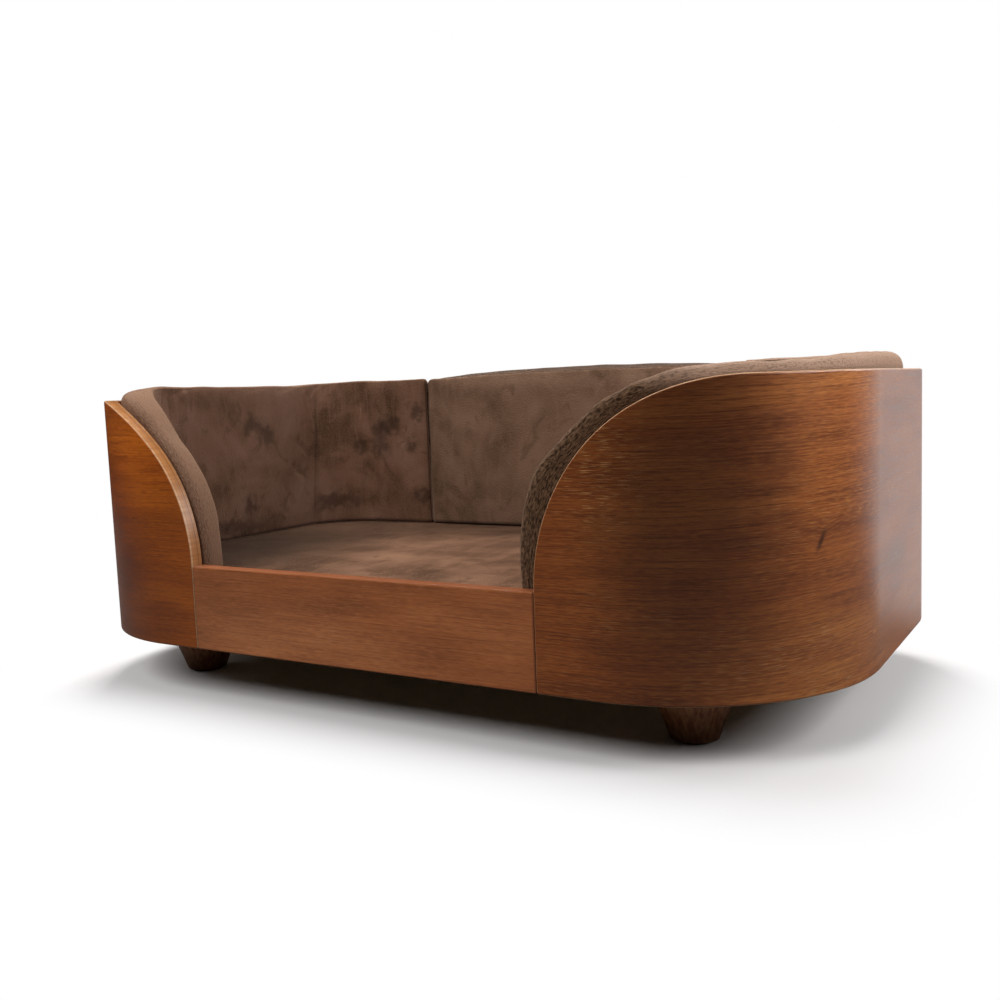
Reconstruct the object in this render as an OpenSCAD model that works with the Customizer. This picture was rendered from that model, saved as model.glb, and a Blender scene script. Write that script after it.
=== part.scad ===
// Pet sofa: bent plywood walls on turned legs, with a seat cushion, two bolsters and a back cushion.
// Millimetres, +Z up. The origin is on the floor under the middle of the sofa, and its entry faces -Y.

/* [Overall size] */
// Width over the end walls
body_w = 700; // [640:10:800]
// Depth from the front board to the back board
body_d = 405; // [385:5:480]
// Height of the walls above the floor
wall_top = 251; // [230:1:300]
// Height of the bottom of the walls above the floor
floor_gap = 44; // [38:1:60]

/* [Walls] */
// Thickness of the bent plywood
ply_t = 12; // [11:0.5:15]
// Outer radius of the front corners
front_r = 148; // [125:1:150]
// Outer radius of the rear corners
rear_r = 102; // [85:1:120]
// Flat run of an end wall between its front seam and its front corner
seam_flat = 42; // [38:1:60]
// Radius of the arm line, seen from the front
arm_r = 138; // [110:2:150]
// Height of the front board
board_h = 69; // [62:1:80]
// Gap at each seam between a wall and a board
seam_gap = 0.3; // [0.1:0.1:0.6]

/* [Base] */
// Thickness of the base board
base_t = 9; // [8:0.5:12]
// Gap between the base board and the walls
base_fit = 0.5; // [0.3:0.1:1]
// Width of the cleats
cleat_w = 18; // [16:1:22]
// Height of the cleats
cleat_h = 18; // [17:1:22]
// Recess of the cleats above the bottom of the walls
cleat_lift = 3; // [1:0.5:5]
// Length that the front and back cleats reach past each seam
cleat_lap = 32; // [28:1:36]
// Distance of a side cleat's ends from the corners of the walls
side_cleat_end = 12; // [5:1:25]

/* [Legs] */
// Distance of a leg's axis from the end of the sofa
leg_inset_x = 111; // [100:1:125]
// Distance of a leg's axis from the front and back of the sofa
leg_inset_y = 82; // [78:1:100]
// Diameter of the foot of a leg
leg_foot_d = 35; // [28:1:40]
// Diameter of the top of a leg
leg_top_d = 70; // [56:1:76]
// Height of the straight collar at the top of a leg
leg_collar = 16; // [8:1:20]
// Width of the eased edge round the foot
leg_ease = 1; // [0.5:0.5:2.5]
// Diameter of a felt glide
glide_d = 28; // [22:1:30]
// Thickness of a felt glide
glide_t = 1.5; // [1:0.5:3]

/* [Cushions] */
// Thickness of the bolsters at their edges' inner limit
pad_t = 28; // [24:1:34]
// Swell of the inner face of an upright cushion
pad_crown = 2.5; // [1:0.5:4]
// Clearance between an upright cushion and the plates and tapes on the wall
pad_fit = 0.4; // [0.3:0.1:1]
// Height of the cushions above the walls
pad_proud = 12; // [6:1:18]
// Depth of the rounding at the edges of an upright cushion
pad_edge = 14; // [10:1:16]
// Extra foam where a bolster is folded into a rear corner
corner_fill = 7; // [0:1:9]
// Shift of the left bolster's front end towards the entry
left_slip = -5; // [-8:1:14]
// Shift of the right bolster's front end towards the entry
right_slip = 14; // [-8:1:14]
// Run of a bolster along the back wall, past the rear corner
bolster_run = 62.5; // [40:2.5:80]
// Rise of the back cushion in the middle
back_rise = 4; // [0:1:8]
// Thickness of the seat cushion at its edges
seat_t = 27.5; // [24:0.5:34]
// Swell of the seat cushion in the middle
seat_crown = 1.8; // [1:0.2:6]
// Clearance between a cushion and what it lies on
rest_gap = 0.3; // [0.2:0.1:0.5]

/* [Fixings] */
// Length of a seam plate
plate_l = 60; // [50:2:64]
// Height of a seam plate
plate_h = 16; // [14:1:18]
// Thickness of a seam plate and of a hook tape
plate_t = 2; // [1.5:0.1:2.2]
// Height of the lowest seam plates above the base board
plate_lift = 1.5; // [1:0.5:4]
// Depth of a plate screw in the wall
plate_bite = 7; // [5:0.5:9]
// Shank diameter of a plate screw
plate_screw_d = 3.5; // [3:0.5:4]
// Depth of a cleat screw in the wall
wall_bite = 8; // [6:0.5:9]
// Depth of a base screw in its cleat
cleat_bite = 11; // [9:0.5:14]
// Shank diameter of the cleat and base screws
screw_d = 4; // [3.5:0.5:4.5]
// Diameter of a screw's head as a share of its shank
head_share = 1.9; // [1.7:0.1:2]
// Diameter of a seam dowel
dowel_d = 6; // [5:1:7]
// Length of a seam dowel
dowel_l = 24; // [20:2:30]
// Diameter of a leg bolt
bolt_d = 8; // [6:1:8]
// Depth of the leg bolt in the leg
bolt_depth = 32; // [25:1:36]
// Diameter of a tee nut's barrel
nut_d = 10.5; // [10:0.5:12]
// Diameter of a tee nut's flange
flange_d = 22; // [18:1:26]
// Thickness of a tee nut's flange
flange_t = 1.5; // [1:0.5:2]
// Radial clearance of screws, dowels, bolts and tee nuts in their holes
hole_fit = 0.05; // [0.02:0.01:0.1]
// Distance of the side tapes' ends from the corners of the walls
tape_end = 22; // [10:1:40]
// Length of a hook tape on the back board
back_tape_l = 110; // [80:5:130]
// Height of a hook tape
tape_h = 25; // [20:1:30]

/* [Hidden] */
$fn = 96;

// One overrun serves every cut
over = ply_t / 6;

// Heights
wall_h = wall_top - floor_gap;
board_top = floor_gap + board_h;
cleat_z = floor_gap + cleat_lift;
base_z = cleat_z + cleat_h;
base_top = base_z + base_t;
seat_z = base_top + rest_gap;
seat_top = seat_z + seat_t;
pad_z = seat_top + rest_gap;
pad_top = wall_top + pad_proud;

// Corner centres of the plan, and the faces of the walls
front_cx = body_w / 2 - front_r;
front_cy = front_r - body_d / 2;
rear_cx = body_w / 2 - rear_r;
rear_cy = body_d / 2 - rear_r;
seam_x = front_cx - seam_flat;
in_x = body_w / 2 - ply_t;
in_y = body_d / 2 - ply_t;
wall_mid_y = body_d / 2 - ply_t / 2;

// The arm line is a quarter circle, seen from the front, that rises from the seam to the walls' top
arm_x = seam_x + arm_r;
arm_z = wall_top - arm_r;

// Legs
leg_x = body_w / 2 - leg_inset_x;
leg_y = body_d / 2 - leg_inset_y;

// Upright cushions follow the inside of the walls at this inset
pad_gap = plate_t + pad_fit;
pad_inset = ply_t + pad_gap;
bolster_end_x = rear_cx - bolster_run;
back_end_x = bolster_end_x - rest_gap;
// Height up to which the front end of a bolster is straight
pad_end_top = max(arm_z, pad_z + pad_edge / 2);

// Side cleats and tapes lie on the straight part of the end walls
side_mid_y = (front_cy + rear_cy) / 2;
side_cleat_l = rear_cy - front_cy - 2 * side_cleat_end;
side_tape_l = rear_cy - front_cy - 2 * tape_end;

// Half length of the front and back cleats, and the height of the screws through them
cleat_half = seam_x + cleat_lap;
cleat_screw_share = 0.3;
cleat_screw_z = cleat_z + cleat_h * cleat_screw_share;

// Heights of the seam plates, dowels and tapes
rear_plate_share = 0.3;
front_plate_z = [base_top + plate_h / 2 + plate_lift];
rear_plate_z = [front_plate_z[0], pad_z + (wall_top - pad_z) * rear_plate_share, wall_top - plate_h * 3 / 2];
front_dowel_z = [base_z - cleat_h / 3, board_top - dowel_d * 2];
rear_dowel_z = [front_dowel_z[0], front_dowel_z[1], wall_top - dowel_d * 2];
tape_z = [pad_z + tape_h * 3 / 2, wall_top - tape_h];

// Places along the cleats, as shares of the cleat's half length
cleat_screw_shares = [-0.94, -0.55, 0, 0.55, 0.94];
base_screw_shares = [-0.75, -0.27, 0.27, 0.75];
side_cleat_screw_shares = [-0.8, 0, 0.8];
side_base_screw_shares = [-0.4, 0.4];
// Places of the screws along a seam plate, as shares of its length
plate_hole_shares = [-0.42, -0.28, 0.28, 0.42];

// Plan of the sofa, inset from its outer face
module plan(inset) {
    out_x = body_w / 2 - inset;
    out_y = body_d / 2 - inset;
    polygon([[-front_cx, -out_y], [front_cx, -out_y], [out_x, front_cy], [out_x, rear_cy],
             [rear_cx, out_y], [-rear_cx, out_y], [-out_x, rear_cy], [-out_x, front_cy]]);
    for (side = [-1, 1]) {
        translate([side * front_cx, front_cy]) circle(front_r - inset);
        translate([side * rear_cx, rear_cy]) circle(rear_r - inset);
    }
}

// A countersunk screw along +Z with its head's face at the origin, or its hole when grow is given
module screw(length, d, grow = 0) {
    head_d = d * head_share;
    head_h = (head_d - d) / 2;
    translate([0, 0, head_h]) cylinder(h = length - head_h + grow, d = d + 2 * grow);
    cylinder(h = head_h, d1 = head_d + 2 * grow, d2 = d + 2 * grow);
    if (grow > 0) translate([0, 0, -over]) cylinder(h = over, d = head_d + 2 * grow);
}

// Screws through the seam plates, pointing out into the walls
module plate_screw_set(grow = 0) {
    for (side = [-1, 1], share = plate_hole_shares) {
        x = side * seam_x + share * plate_l;
        for (z = front_plate_z)
            translate([x, plate_t - in_y, z])
                rotate([90, 0, 0]) screw(plate_t + plate_bite, plate_screw_d, grow);
        for (z = rear_plate_z)
            translate([x, in_y - plate_t, z])
                rotate([-90, 0, 0]) screw(plate_t + plate_bite, plate_screw_d, grow);
    }
}

// Screws through the cleats, pointing out into the walls
module cleat_screw_set(grow = 0) {
    for (share = cleat_screw_shares) {
        translate([share * cleat_half, cleat_w - in_y, cleat_screw_z])
            rotate([90, 0, 0]) screw(cleat_w + wall_bite, screw_d, grow);
        translate([share * cleat_half, in_y - cleat_w, cleat_screw_z])
            rotate([-90, 0, 0]) screw(cleat_w + wall_bite, screw_d, grow);
    }
    for (share = side_cleat_screw_shares) {
        y = side_mid_y + share * side_cleat_l / 2;
        for (side = [-1, 1])
            translate([side * (in_x - cleat_w), y, cleat_screw_z])
                rotate([0, side * 90, 0]) screw(cleat_w + wall_bite, screw_d, grow);
    }
}

// Screws through the base board, pointing down into the cleats
module base_screw_set(grow = 0) {
    for (side = [-1, 1]) {
        for (share = base_screw_shares)
            translate([share * cleat_half, side * (in_y - cleat_w / 2), base_top])
                rotate([180, 0, 0]) screw(base_t + cleat_bite, screw_d, grow);
        for (share = side_base_screw_shares)
            translate([side * (in_x - cleat_w / 2), side_mid_y + share * side_cleat_l / 2, base_top])
                rotate([180, 0, 0]) screw(base_t + cleat_bite, screw_d, grow);
    }
}

// Dowels across the seams
module dowel_set(grow = 0) {
    for (side = [-1, 1]) {
        for (z = front_dowel_z) translate([side * seam_x, -wall_mid_y, z]) dowel(grow);
        for (z = rear_dowel_z) translate([side * seam_x, wall_mid_y, z]) dowel(grow);
    }
}

module dowel(grow) {
    rotate([0, 90, 0]) cylinder(h = dowel_l + 2 * grow, d = dowel_d + 2 * grow, center = true);
}

// What is cut away above the arm line of the right wall
module arm_cut() {
    translate([0, front_cy, 0]) rotate([90, 0, 0]) linear_extrude(height = front_r + over)
        difference() {
            translate([seam_x - over, max(arm_z, board_top)])
                square([arm_r + over, wall_top - max(arm_z, board_top) + over]);
            translate([arm_x, arm_z]) circle(arm_r);
        }
}

// One bent end wall, drawn on the right
module shell() {
    difference() {
        translate([0, 0, floor_gap]) linear_extrude(height = wall_h) intersection() {
            difference() {
                plan(0);
                plan(ply_t);
            }
            translate([seam_x, -body_d]) square([body_w, 2 * body_d]);
        }
        arm_cut();
    }
}

module right_shell() {
    color("peru") difference() {
        shell();
        dowel_set(hole_fit);
        plate_screw_set(hole_fit);
        cleat_screw_set(hole_fit);
    }
}

module left_shell() {
    color("sienna") difference() {
        mirror([1, 0, 0]) shell();
        dowel_set(hole_fit);
        plate_screw_set(hole_fit);
        cleat_screw_set(hole_fit);
    }
}

module front_board() {
    color("sienna") difference() {
        translate([seam_gap - seam_x, -body_d / 2, floor_gap])
            cube([2 * (seam_x - seam_gap), ply_t, board_h]);
        dowel_set(hole_fit);
        plate_screw_set(hole_fit);
        cleat_screw_set(hole_fit);
    }
}

module back_board() {
    color("sienna") difference() {
        translate([seam_gap - seam_x, in_y, floor_gap])
            cube([2 * (seam_x - seam_gap), ply_t, wall_h]);
        dowel_set(hole_fit);
        plate_screw_set(hole_fit);
        cleat_screw_set(hole_fit);
    }
}

module base_board() {
    color("burlywood") difference() {
        translate([0, 0, base_z]) linear_extrude(height = base_t) plan(ply_t + base_fit);
        base_screw_set(hole_fit);
        at_legs() translate([0, 0, base_z - over]) cylinder(h = base_t + 2 * over, d = nut_d + 2 * hole_fit);
        at_legs() translate([0, 0, base_top - flange_t - hole_fit])
            cylinder(h = flange_t + over, d = flange_d + 2 * hole_fit);
    }
}

// Front or back cleat, on the side of the sofa that side gives
module long_cleat(side) {
    color("tan") difference() {
        translate([-cleat_half, side * (in_y - cleat_w / 2) - cleat_w / 2, cleat_z])
            cube([2 * cleat_half, cleat_w, cleat_h]);
        cleat_screw_set(hole_fit);
        base_screw_set(hole_fit);
    }
}

module side_cleat(side) {
    color("tan") difference() {
        translate([side * (in_x - cleat_w / 2) - cleat_w / 2, side_mid_y - side_cleat_l / 2, cleat_z])
            cube([cleat_w, side_cleat_l, cleat_h]);
        cleat_screw_set(hole_fit);
        base_screw_set(hole_fit);
    }
}

// Seam plates on one seam: side is -1 for left, face is -1 for the front
module seam_plates(side, face, heights) {
    color("silver") difference() {
        for (z = heights)
            translate([side * seam_x, face * (in_y - plate_t / 2), z])
                cube([plate_l, plate_t, plate_h], center = true);
        plate_screw_set(hole_fit);
    }
}

module at_legs() {
    for (x = [-leg_x, leg_x], y = [-leg_y, leg_y]) translate([x, y, 0]) children();
}

// A turned leg: a plain taper under a short collar, with a blind hole for its bolt
module leg(x_side, y_side) {
    foot_r = leg_foot_d / 2;
    top_r = leg_top_d / 2;
    color("saddlebrown") translate([x_side * leg_x, y_side * leg_y, 0]) difference() {
        rotate_extrude() polygon([[0, glide_t], [foot_r - leg_ease, glide_t], [foot_r, glide_t + leg_ease],
                                  [top_r, base_z - leg_collar], [top_r, base_z], [0, base_z]]);
        translate([0, 0, base_z - bolt_depth - hole_fit])
            cylinder(h = bolt_depth + over, d = bolt_d + 2 * hole_fit);
    }
}

module leg_bolts() {
    color("silver") at_legs() translate([0, 0, base_z - bolt_depth])
        cylinder(h = bolt_depth + base_t - flange_t, d = bolt_d);
}

module leg_tee_nuts() {
    color("gray") at_legs() difference() {
        union() {
            translate([0, 0, base_z + hole_fit]) cylinder(h = base_t - hole_fit, d = nut_d);
            translate([0, 0, base_top - flange_t]) cylinder(h = flange_t, d = flange_d);
        }
        cylinder(h = base_top + over, d = bolt_d + 2 * hole_fit);
    }
}

module leg_glides() {
    color("dimgray") at_legs() cylinder(h = glide_t, d = glide_d);
}

// Hook tapes on the straight part of an end wall
module side_tapes(side) {
    color("black") for (z = tape_z)
        translate([side * (in_x - plate_t / 2) - plate_t / 2, side_mid_y - side_tape_l / 2, z - tape_h / 2])
            cube([plate_t, side_tape_l, tape_h]);
}

module back_tapes() {
    color("black") for (z = tape_z)
        translate([-back_tape_l / 2, in_y - plate_t, z - tape_h / 2]) cube([back_tape_l, plate_t, tape_h]);
}

// Share of a cushion's full thickness at a distance inside an edge that is rounded over a depth
function puff(dist, depth) = dist <= 0 ? 0 : dist >= depth ? 1 : sqrt(1 - pow(1 - dist / depth, 2));

// Rows of an upright cushion, as shares of its height
row_shares = [0, 0.012, 0.05, 0.12, 0.3, 0.5, 0.7, 0.88, 0.95, 0.988, 1];
// Columns at the end of an upright cushion, as shares of the depth of its rounding
end_shares = [0, 0.04, 0.2, 0.55, 1];
// Columns along the arm line, as shares of its turn
arm_shares = [0, 0.055, 0.12, 0.2, 0.29, 0.39, 0.5, 0.62, 0.74, 0.87, 1];

// A column is its foot on the wall side [x, y], its way in [nx, ny], its top, its distance from
// the cushion's end, its extra fill, and the centre of the arm line's circle where it has one
function column(x, y, nx, ny, top, end_dist, fill, round_x) = [x, y, nx, ny, top, end_dist, fill, round_x];

// Distance of a point of a column from the top edge, which is round along the arm line
function top_dist(c, z, round_r) =
    c[7] == 0 ? c[4] - z
    : z > pad_end_top ? round_r - norm([c[7] - c[0], z - arm_z]) : c[0] - arm_end(c[7], round_r);

// Angle at which a bolster's arm line starts, and the width at which it ends
function arm_start(round_r) = asin((pad_end_top - arm_z) / round_r);
function arm_end(round_x, round_r) = round_x - round_r * cos(arm_start(round_r));

// A point of an upright cushion: near is 0 on the wall side and 1 on the inner side
function pad_point(c, share, near, round_r) =
    let (z = pad_z + share * (c[4] - pad_z),
         p = puff(top_dist(c, z, round_r), pad_edge) * puff(z - pad_z, pad_edge / 2) * puff(c[5], pad_edge),
         swell = (pad_crown + c[6]) * p * sin(180 * share),
         n = near == 0 ? pad_t / 2 * (1 - p) : pad_t / 2 * (1 + p) + swell)
    [c[0] + c[2] * n, c[1] + c[3] * n, z];

// A closed cushion between two sheets of points that share their edges
module upright_pad(columns, round_r) {
    last = len(columns) - 1;
    top = len(row_shares) - 1;
    wall_side = [for (c = columns, share = row_shares) pad_point(c, share, 0, round_r)];
    room_side = [for (i = [1 : last - 1], j = [1 : top - 1])
                 pad_point(columns[i], row_shares[j], 1, round_r)];
    function at(near, i, j) =
        near == 0 || i == 0 || i == last || j == 0 || j == top
        ? i * (top + 1) + j
        : (last + 1) * (top + 1) + (i - 1) * (top - 1) + j - 1;
    function corners(near, i, j) =
        near == 0 ? [at(0, i, j), at(0, i, j + 1), at(0, i + 1, j + 1), at(0, i + 1, j)]
                  : [at(1, i, j), at(1, i + 1, j), at(1, i + 1, j + 1), at(1, i, j + 1)];
    function halves(q, turn) = turn ? [[q[0], q[1], q[3]], [q[1], q[2], q[3]]]
                                    : [[q[0], q[1], q[2]], [q[0], q[2], q[3]]];
    polyhedron(points = concat(wall_side, room_side),
               faces = [for (near = [0, 1], i = [0 : last - 1], j = [0 : top - 1])
                        each halves(corners(near, i, j), (i < last / 2) != (j < top / 2))]);
}

// Place and way in of a column at width x along the inside of the front wall
function front_place(x) =
    let (r = front_r - pad_inset, a = x <= front_cx ? 0 : asin((x - front_cx) / r))
    [x, front_cy - r * cos(a), -sin(a), cos(a)];

// Columns of a bolster on the right: arm line, front corner, end wall, rear corner, back wall
function bolster_columns(slip) =
    let (round_r = arm_r + pad_proud,
         round_x = arm_x - slip,
         r = front_r - pad_inset,
         rr = rear_r - pad_inset,
         turn = asin((round_x - front_cx) / r),
         side_x = body_w / 2 - pad_inset,
         back_y = body_d / 2 - pad_inset)
    concat(
        [for (share = arm_shares)
            let (a = arm_start(round_r) + share * (90 - arm_start(round_r)),
                 p = front_place(round_x - round_r * cos(a)))
            column(p[0], p[1], p[2], p[3], arm_z + round_r * sin(a), pad_edge, 0, round_x)],
        [for (k = [1 : 4])
            let (a = turn + (90 - turn) * k / 4)
            column(front_cx + r * sin(a), front_cy - r * cos(a), -sin(a), cos(a), pad_top, pad_edge, 0, 0)],
        [for (k = [1 : 3])
            column(side_x, front_cy + (rear_cy - front_cy) * k / 4, -1, 0, pad_top, pad_edge, 0, 0)],
        [for (k = [0 : 8])
            let (a = 90 * k / 8)
            column(rear_cx + rr * cos(a), rear_cy + rr * sin(a), -cos(a), -sin(a), pad_top, pad_edge,
                   corner_fill * sin(2 * a), 0)],
        [for (share = [for (k = [len(end_shares) - 1 : -1 : 0]) end_shares[k]])
            column(bolster_end_x + share * pad_edge, back_y, 0, -1,
                   pad_top - pad_edge * (1 - puff(share, 1)) / 3, share * pad_edge, 0, 0)]);

module right_bolster() {
    color("dimgray") upright_pad(bolster_columns(right_slip), arm_r + pad_proud);
}

module left_bolster() {
    color("dimgray") mirror([1, 0, 0]) upright_pad(bolster_columns(left_slip), arm_r + pad_proud);
}

// Half widths of the back cushion's columns, from its end to its middle
function back_halves() =
    concat([for (share = end_shares) back_end_x - share * pad_edge],
           [for (share = [0.8, 0.55, 0.28, 0]) share * back_end_x]);

module back_cushion() {
    halves = back_halves();
    count = len(halves);
    xs = concat([for (k = [0 : count - 1]) halves[k]], [for (k = [count - 2 : -1 : 0]) -halves[k]]);
    columns = [for (x = xs)
        let (end_dist = back_end_x - abs(x), rise = back_rise * cos(90 * x / back_end_x),
             top = pad_top + rise - pad_edge * (1 - puff(end_dist, pad_edge)) / 3)
        column(x, body_d / 2 - pad_inset, 0, -1, top, end_dist, 0, 0)];
    color("gray") upright_pad(columns, 0);
}

// Insets of the seat cushion's rings: the rounded rim, the flat under the bolsters, and the crown
seat_rim = seat_t / 2;
crown_start = pad_t + pad_crown + pad_gap + corner_fill;
crown_end = body_d / 3;
seat_insets = concat([for (share = end_shares) share * seat_rim],
                     [for (k = [0 : 5]) crown_start + (crown_end - crown_start) * k / 5]);
// Angles of the points in each corner of a ring
corner_angles = [for (k = [0 : 8]) 90 * k / 8];

// A ring of the seat cushion's plan, counter-clockwise from the right rear corner's start
function seat_ring(inset, z) =
    let (gap = pad_inset + inset,
         rr = max(rear_r - gap, seat_rim),
         fr = max(front_r - gap, seat_rim),
         x = body_w / 2 - gap,
         y = body_d / 2 - gap)
    concat([for (a = corner_angles) [x - rr + rr * cos(a), y - rr + rr * sin(a), z]],
           [for (a = corner_angles) [rr - x - rr * sin(a), y - rr + rr * cos(a), z]],
           [for (a = corner_angles) [fr - x - fr * cos(a), fr - y - fr * sin(a), z]],
           [for (a = corner_angles) [x - fr + fr * sin(a), fr - y - fr * cos(a), z]]);

// Height of the seat's top face at an inset from its edge
function seat_height(inset) =
    let (t = min(max((inset - crown_start) / (crown_end - crown_start), 0), 1))
    seat_z + seat_t / 2 * (1 + puff(inset, seat_rim)) + seat_crown * (1 - cos(180 * t)) / 2;

module seat_cushion() {
    rim = len(end_shares);
    under = [for (k = [rim - 1 : -1 : 1])
             seat_ring(end_shares[k] * seat_rim, seat_z + seat_t / 2 * (1 - puff(end_shares[k], 1)))];
    above = [for (inset = seat_insets) seat_ring(inset, seat_height(inset))];
    rings = concat(under, above);
    n = len(rings[0]);
    last = len(rings) - 1;
    foot = n * (last + 1);
    color("slategray") polyhedron(
        points = concat([for (ring = rings) each ring], [[0, 0, seat_z], [0, 0, seat_height(crown_end)]]),
        faces = concat(
            [for (k = [0 : last - 1], i = [0 : n - 1])
                each [[k * n + i, (k + 1) * n + i, (k + 1) * n + (i + 1) % n],
                      [k * n + i, (k + 1) * n + (i + 1) % n, k * n + (i + 1) % n]]],
            [for (i = [0 : n - 1]) [foot, i, (i + 1) % n]],
            [for (i = [0 : n - 1]) [foot + 1, last * n + (i + 1) % n, last * n + i]]));
}

left_shell();
right_shell();
front_board();
back_board();
base_board();
long_cleat(-1);  // front_cleat
long_cleat(1);  // back_cleat
side_cleat(-1);  // left_cleat
side_cleat(1);  // right_cleat
seam_plates(-1, -1, front_plate_z);  // front_left_plate
seam_plates(1, -1, front_plate_z);  // front_right_plate
seam_plates(-1, 1, rear_plate_z);  // rear_left_plates
seam_plates(1, 1, rear_plate_z);  // rear_right_plates
color("burlywood") dowel_set();  // seam_dowels
color("silver") plate_screw_set();  // plate_screws
color("gold") cleat_screw_set();  // cleat_screws
color("gold") base_screw_set();  // base_screws
leg(-1, -1);  // front_left_leg
leg(1, -1);  // front_right_leg
leg(-1, 1);  // rear_left_leg
leg(1, 1);  // rear_right_leg
leg_bolts();
leg_tee_nuts();
leg_glides();
seat_cushion();
left_bolster();
right_bolster();
back_cushion();
side_tapes(-1);  // left_tapes
side_tapes(1);  // right_tapes
back_tapes();
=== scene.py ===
# Pet sofa: veneered bentwood walls on turned legs, with plush cushions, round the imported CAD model.
import math

import bpy
import numpy as np
from mathutils import Matrix, Vector, noise


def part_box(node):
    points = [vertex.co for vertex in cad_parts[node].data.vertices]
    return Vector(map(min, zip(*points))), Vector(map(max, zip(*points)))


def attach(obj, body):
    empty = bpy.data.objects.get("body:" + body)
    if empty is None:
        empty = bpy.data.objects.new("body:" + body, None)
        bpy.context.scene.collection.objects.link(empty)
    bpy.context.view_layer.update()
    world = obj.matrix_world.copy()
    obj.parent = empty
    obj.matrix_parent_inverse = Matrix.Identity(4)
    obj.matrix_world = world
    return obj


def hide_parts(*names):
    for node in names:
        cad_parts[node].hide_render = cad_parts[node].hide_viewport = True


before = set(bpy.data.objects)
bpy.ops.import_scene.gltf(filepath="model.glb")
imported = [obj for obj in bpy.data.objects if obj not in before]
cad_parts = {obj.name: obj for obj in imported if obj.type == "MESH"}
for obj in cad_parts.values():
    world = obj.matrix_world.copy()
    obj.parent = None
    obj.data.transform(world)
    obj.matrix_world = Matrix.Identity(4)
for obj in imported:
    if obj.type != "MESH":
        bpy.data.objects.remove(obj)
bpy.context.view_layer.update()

bpy.ops.object.select_all(action="DESELECT")

MM = 0.001

# Sizes of the walls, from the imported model, with their bends
wall_low, wall_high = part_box("right_shell")
board_low, board_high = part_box("front_board")
END_X, DEEP_Y = wall_high.x, wall_high.y
SEAM_X = wall_low.x
WALL_LOW, WALL_TOP = wall_low.z, wall_high.z
PLY = board_high.y - board_low.y
FRONT_R, REAR_R, ARM_R = 148 * MM, 102 * MM, 138 * MM
FRONT_X, FRONT_Y = END_X - FRONT_R, FRONT_R - DEEP_Y
REAR_X, REAR_Y = END_X - REAR_R, DEEP_Y - REAR_R
ARM_X, ARM_Z = SEAM_X + ARM_R, WALL_TOP - ARM_R
EASE = 1.6 * MM

# Runs along the outer face of an end wall, counted from its front seam
FLAT_END = FRONT_X - SEAM_X
FRONT_END = FLAT_END + FRONT_R * math.pi / 2
SIDE_END = FRONT_END + REAR_Y - FRONT_Y
REAR_END = SIDE_END + REAR_R * math.pi / 2

# Cushions
CUSHION_IN = 14.4 * MM
PAD_T = 28 * MM
PAD_PROUD = 12 * MM
CORNER_FILL = 7 * MM
SEAT_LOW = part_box("seat_cushion")[0].z
PAD_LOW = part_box("right_bolster")[0].z
PAD_TOP = WALL_TOP + PAD_PROUD
BOLSTER_END = REAR_END + 62.5 * MM
LEFT_LEAN = 9 * MM
BACK_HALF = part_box("back_cushion")[1].x


def linear(shade):
    """Linear colour of an sRGB hex value."""
    parts = [int(shade[k:k + 2], 16) / 255 for k in (1, 3, 5)]
    return [p / 12.92 if p <= 0.04045 else ((p + 0.055) / 1.055) ** 2.4 for p in parts] + [1]


def add(material, kind, inputs=None, stops=None, **settings):
    """Adds a shader node with its settings and links.

    An input is a value, a colour's hex value or the output that feeds it. Stops are a ramp's
    places, each with a hex value.
    """
    made = material.node_tree.nodes.new("ShaderNode" + kind)
    for name, value in settings.items():
        setattr(made, name, value)
    for name, value in (inputs or {}).items():
        if isinstance(value, bpy.types.NodeSocket):
            material.node_tree.links.new(value, made.inputs[name])
        else:
            made.inputs[name].default_value = linear(value) if isinstance(value, str) else value
    if stops:
        ramp = made.color_ramp.elements
        while len(ramp) < len(stops):
            ramp.new(1)
        for spot, (place, shade) in zip(ramp, stops):
            spot.position, spot.color = place, linear(shade)
    return made


def new_material(name):
    material = bpy.data.materials.new(name)
    material.use_nodes = True
    material.node_tree.nodes.clear()
    return material


def finish_material(material, shader):
    end = add(material, "OutputMaterial", {"Surface": shader.outputs[0]})
    end.is_active_output = True
    return material


def grain(material, sheet, length, width, seed, detail=2.0, distort=0.0):
    """Noise drawn out along the grain: length and width of a mark in metres."""
    spot = add(material, "Mapping", {
        "Vector": sheet, "Scale": (1 / length, 1 / width, 1), "Location": (seed, seed * 1.7, seed)})
    return add(material, "TexNoise", {
        "Vector": spot.outputs[0], "Scale": 1.0, "Detail": detail, "Roughness": 0.55,
        "Distortion": distort}).outputs["Fac"]


def soft_patch(material, sheet, centre, reach):
    """1 round a place on the sheet, falling to 0 at its reach along and up."""
    past_sheet = 9
    off = add(material, "VectorMath", {0: sheet, 1: centre + (0,)}, operation="SUBTRACT")
    flat = add(material, "VectorMath", {0: off.outputs[0], 1: reach + (past_sheet,)},
               operation="DIVIDE")
    gap = add(material, "VectorMath", {0: flat.outputs[0]}, operation="LENGTH").outputs["Value"]
    return add(material, "MapRange", {"Value": gap, "From Min": 0.2, "From Max": 1.0, "To Min": 1.0,
                                      "To Max": 0.0}, interpolation_type="SMOOTHSTEP").outputs[0]


def toned(material, sheet, base, light_and_tone_patches):
    """The colour made darker or paler round places on the sheet.

    Each tone is a centre, its reach and how many times as bright the colour is there, as one
    number or as three for red, green and blue.
    """
    for centre, reach, bright in light_and_tone_patches:
        bright = bright if isinstance(bright, tuple) else (bright, bright, bright)
        patch = soft_patch(material, sheet, centre, reach)
        gain = add(material, "Mix", {0: patch, 4: (1, 1, 1), 5: bright},
                   data_type="VECTOR").outputs[1]
        base = add(material, "VectorMath", {0: base, 1: gain}, operation="MULTIPLY").outputs[0]
    return base


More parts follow.
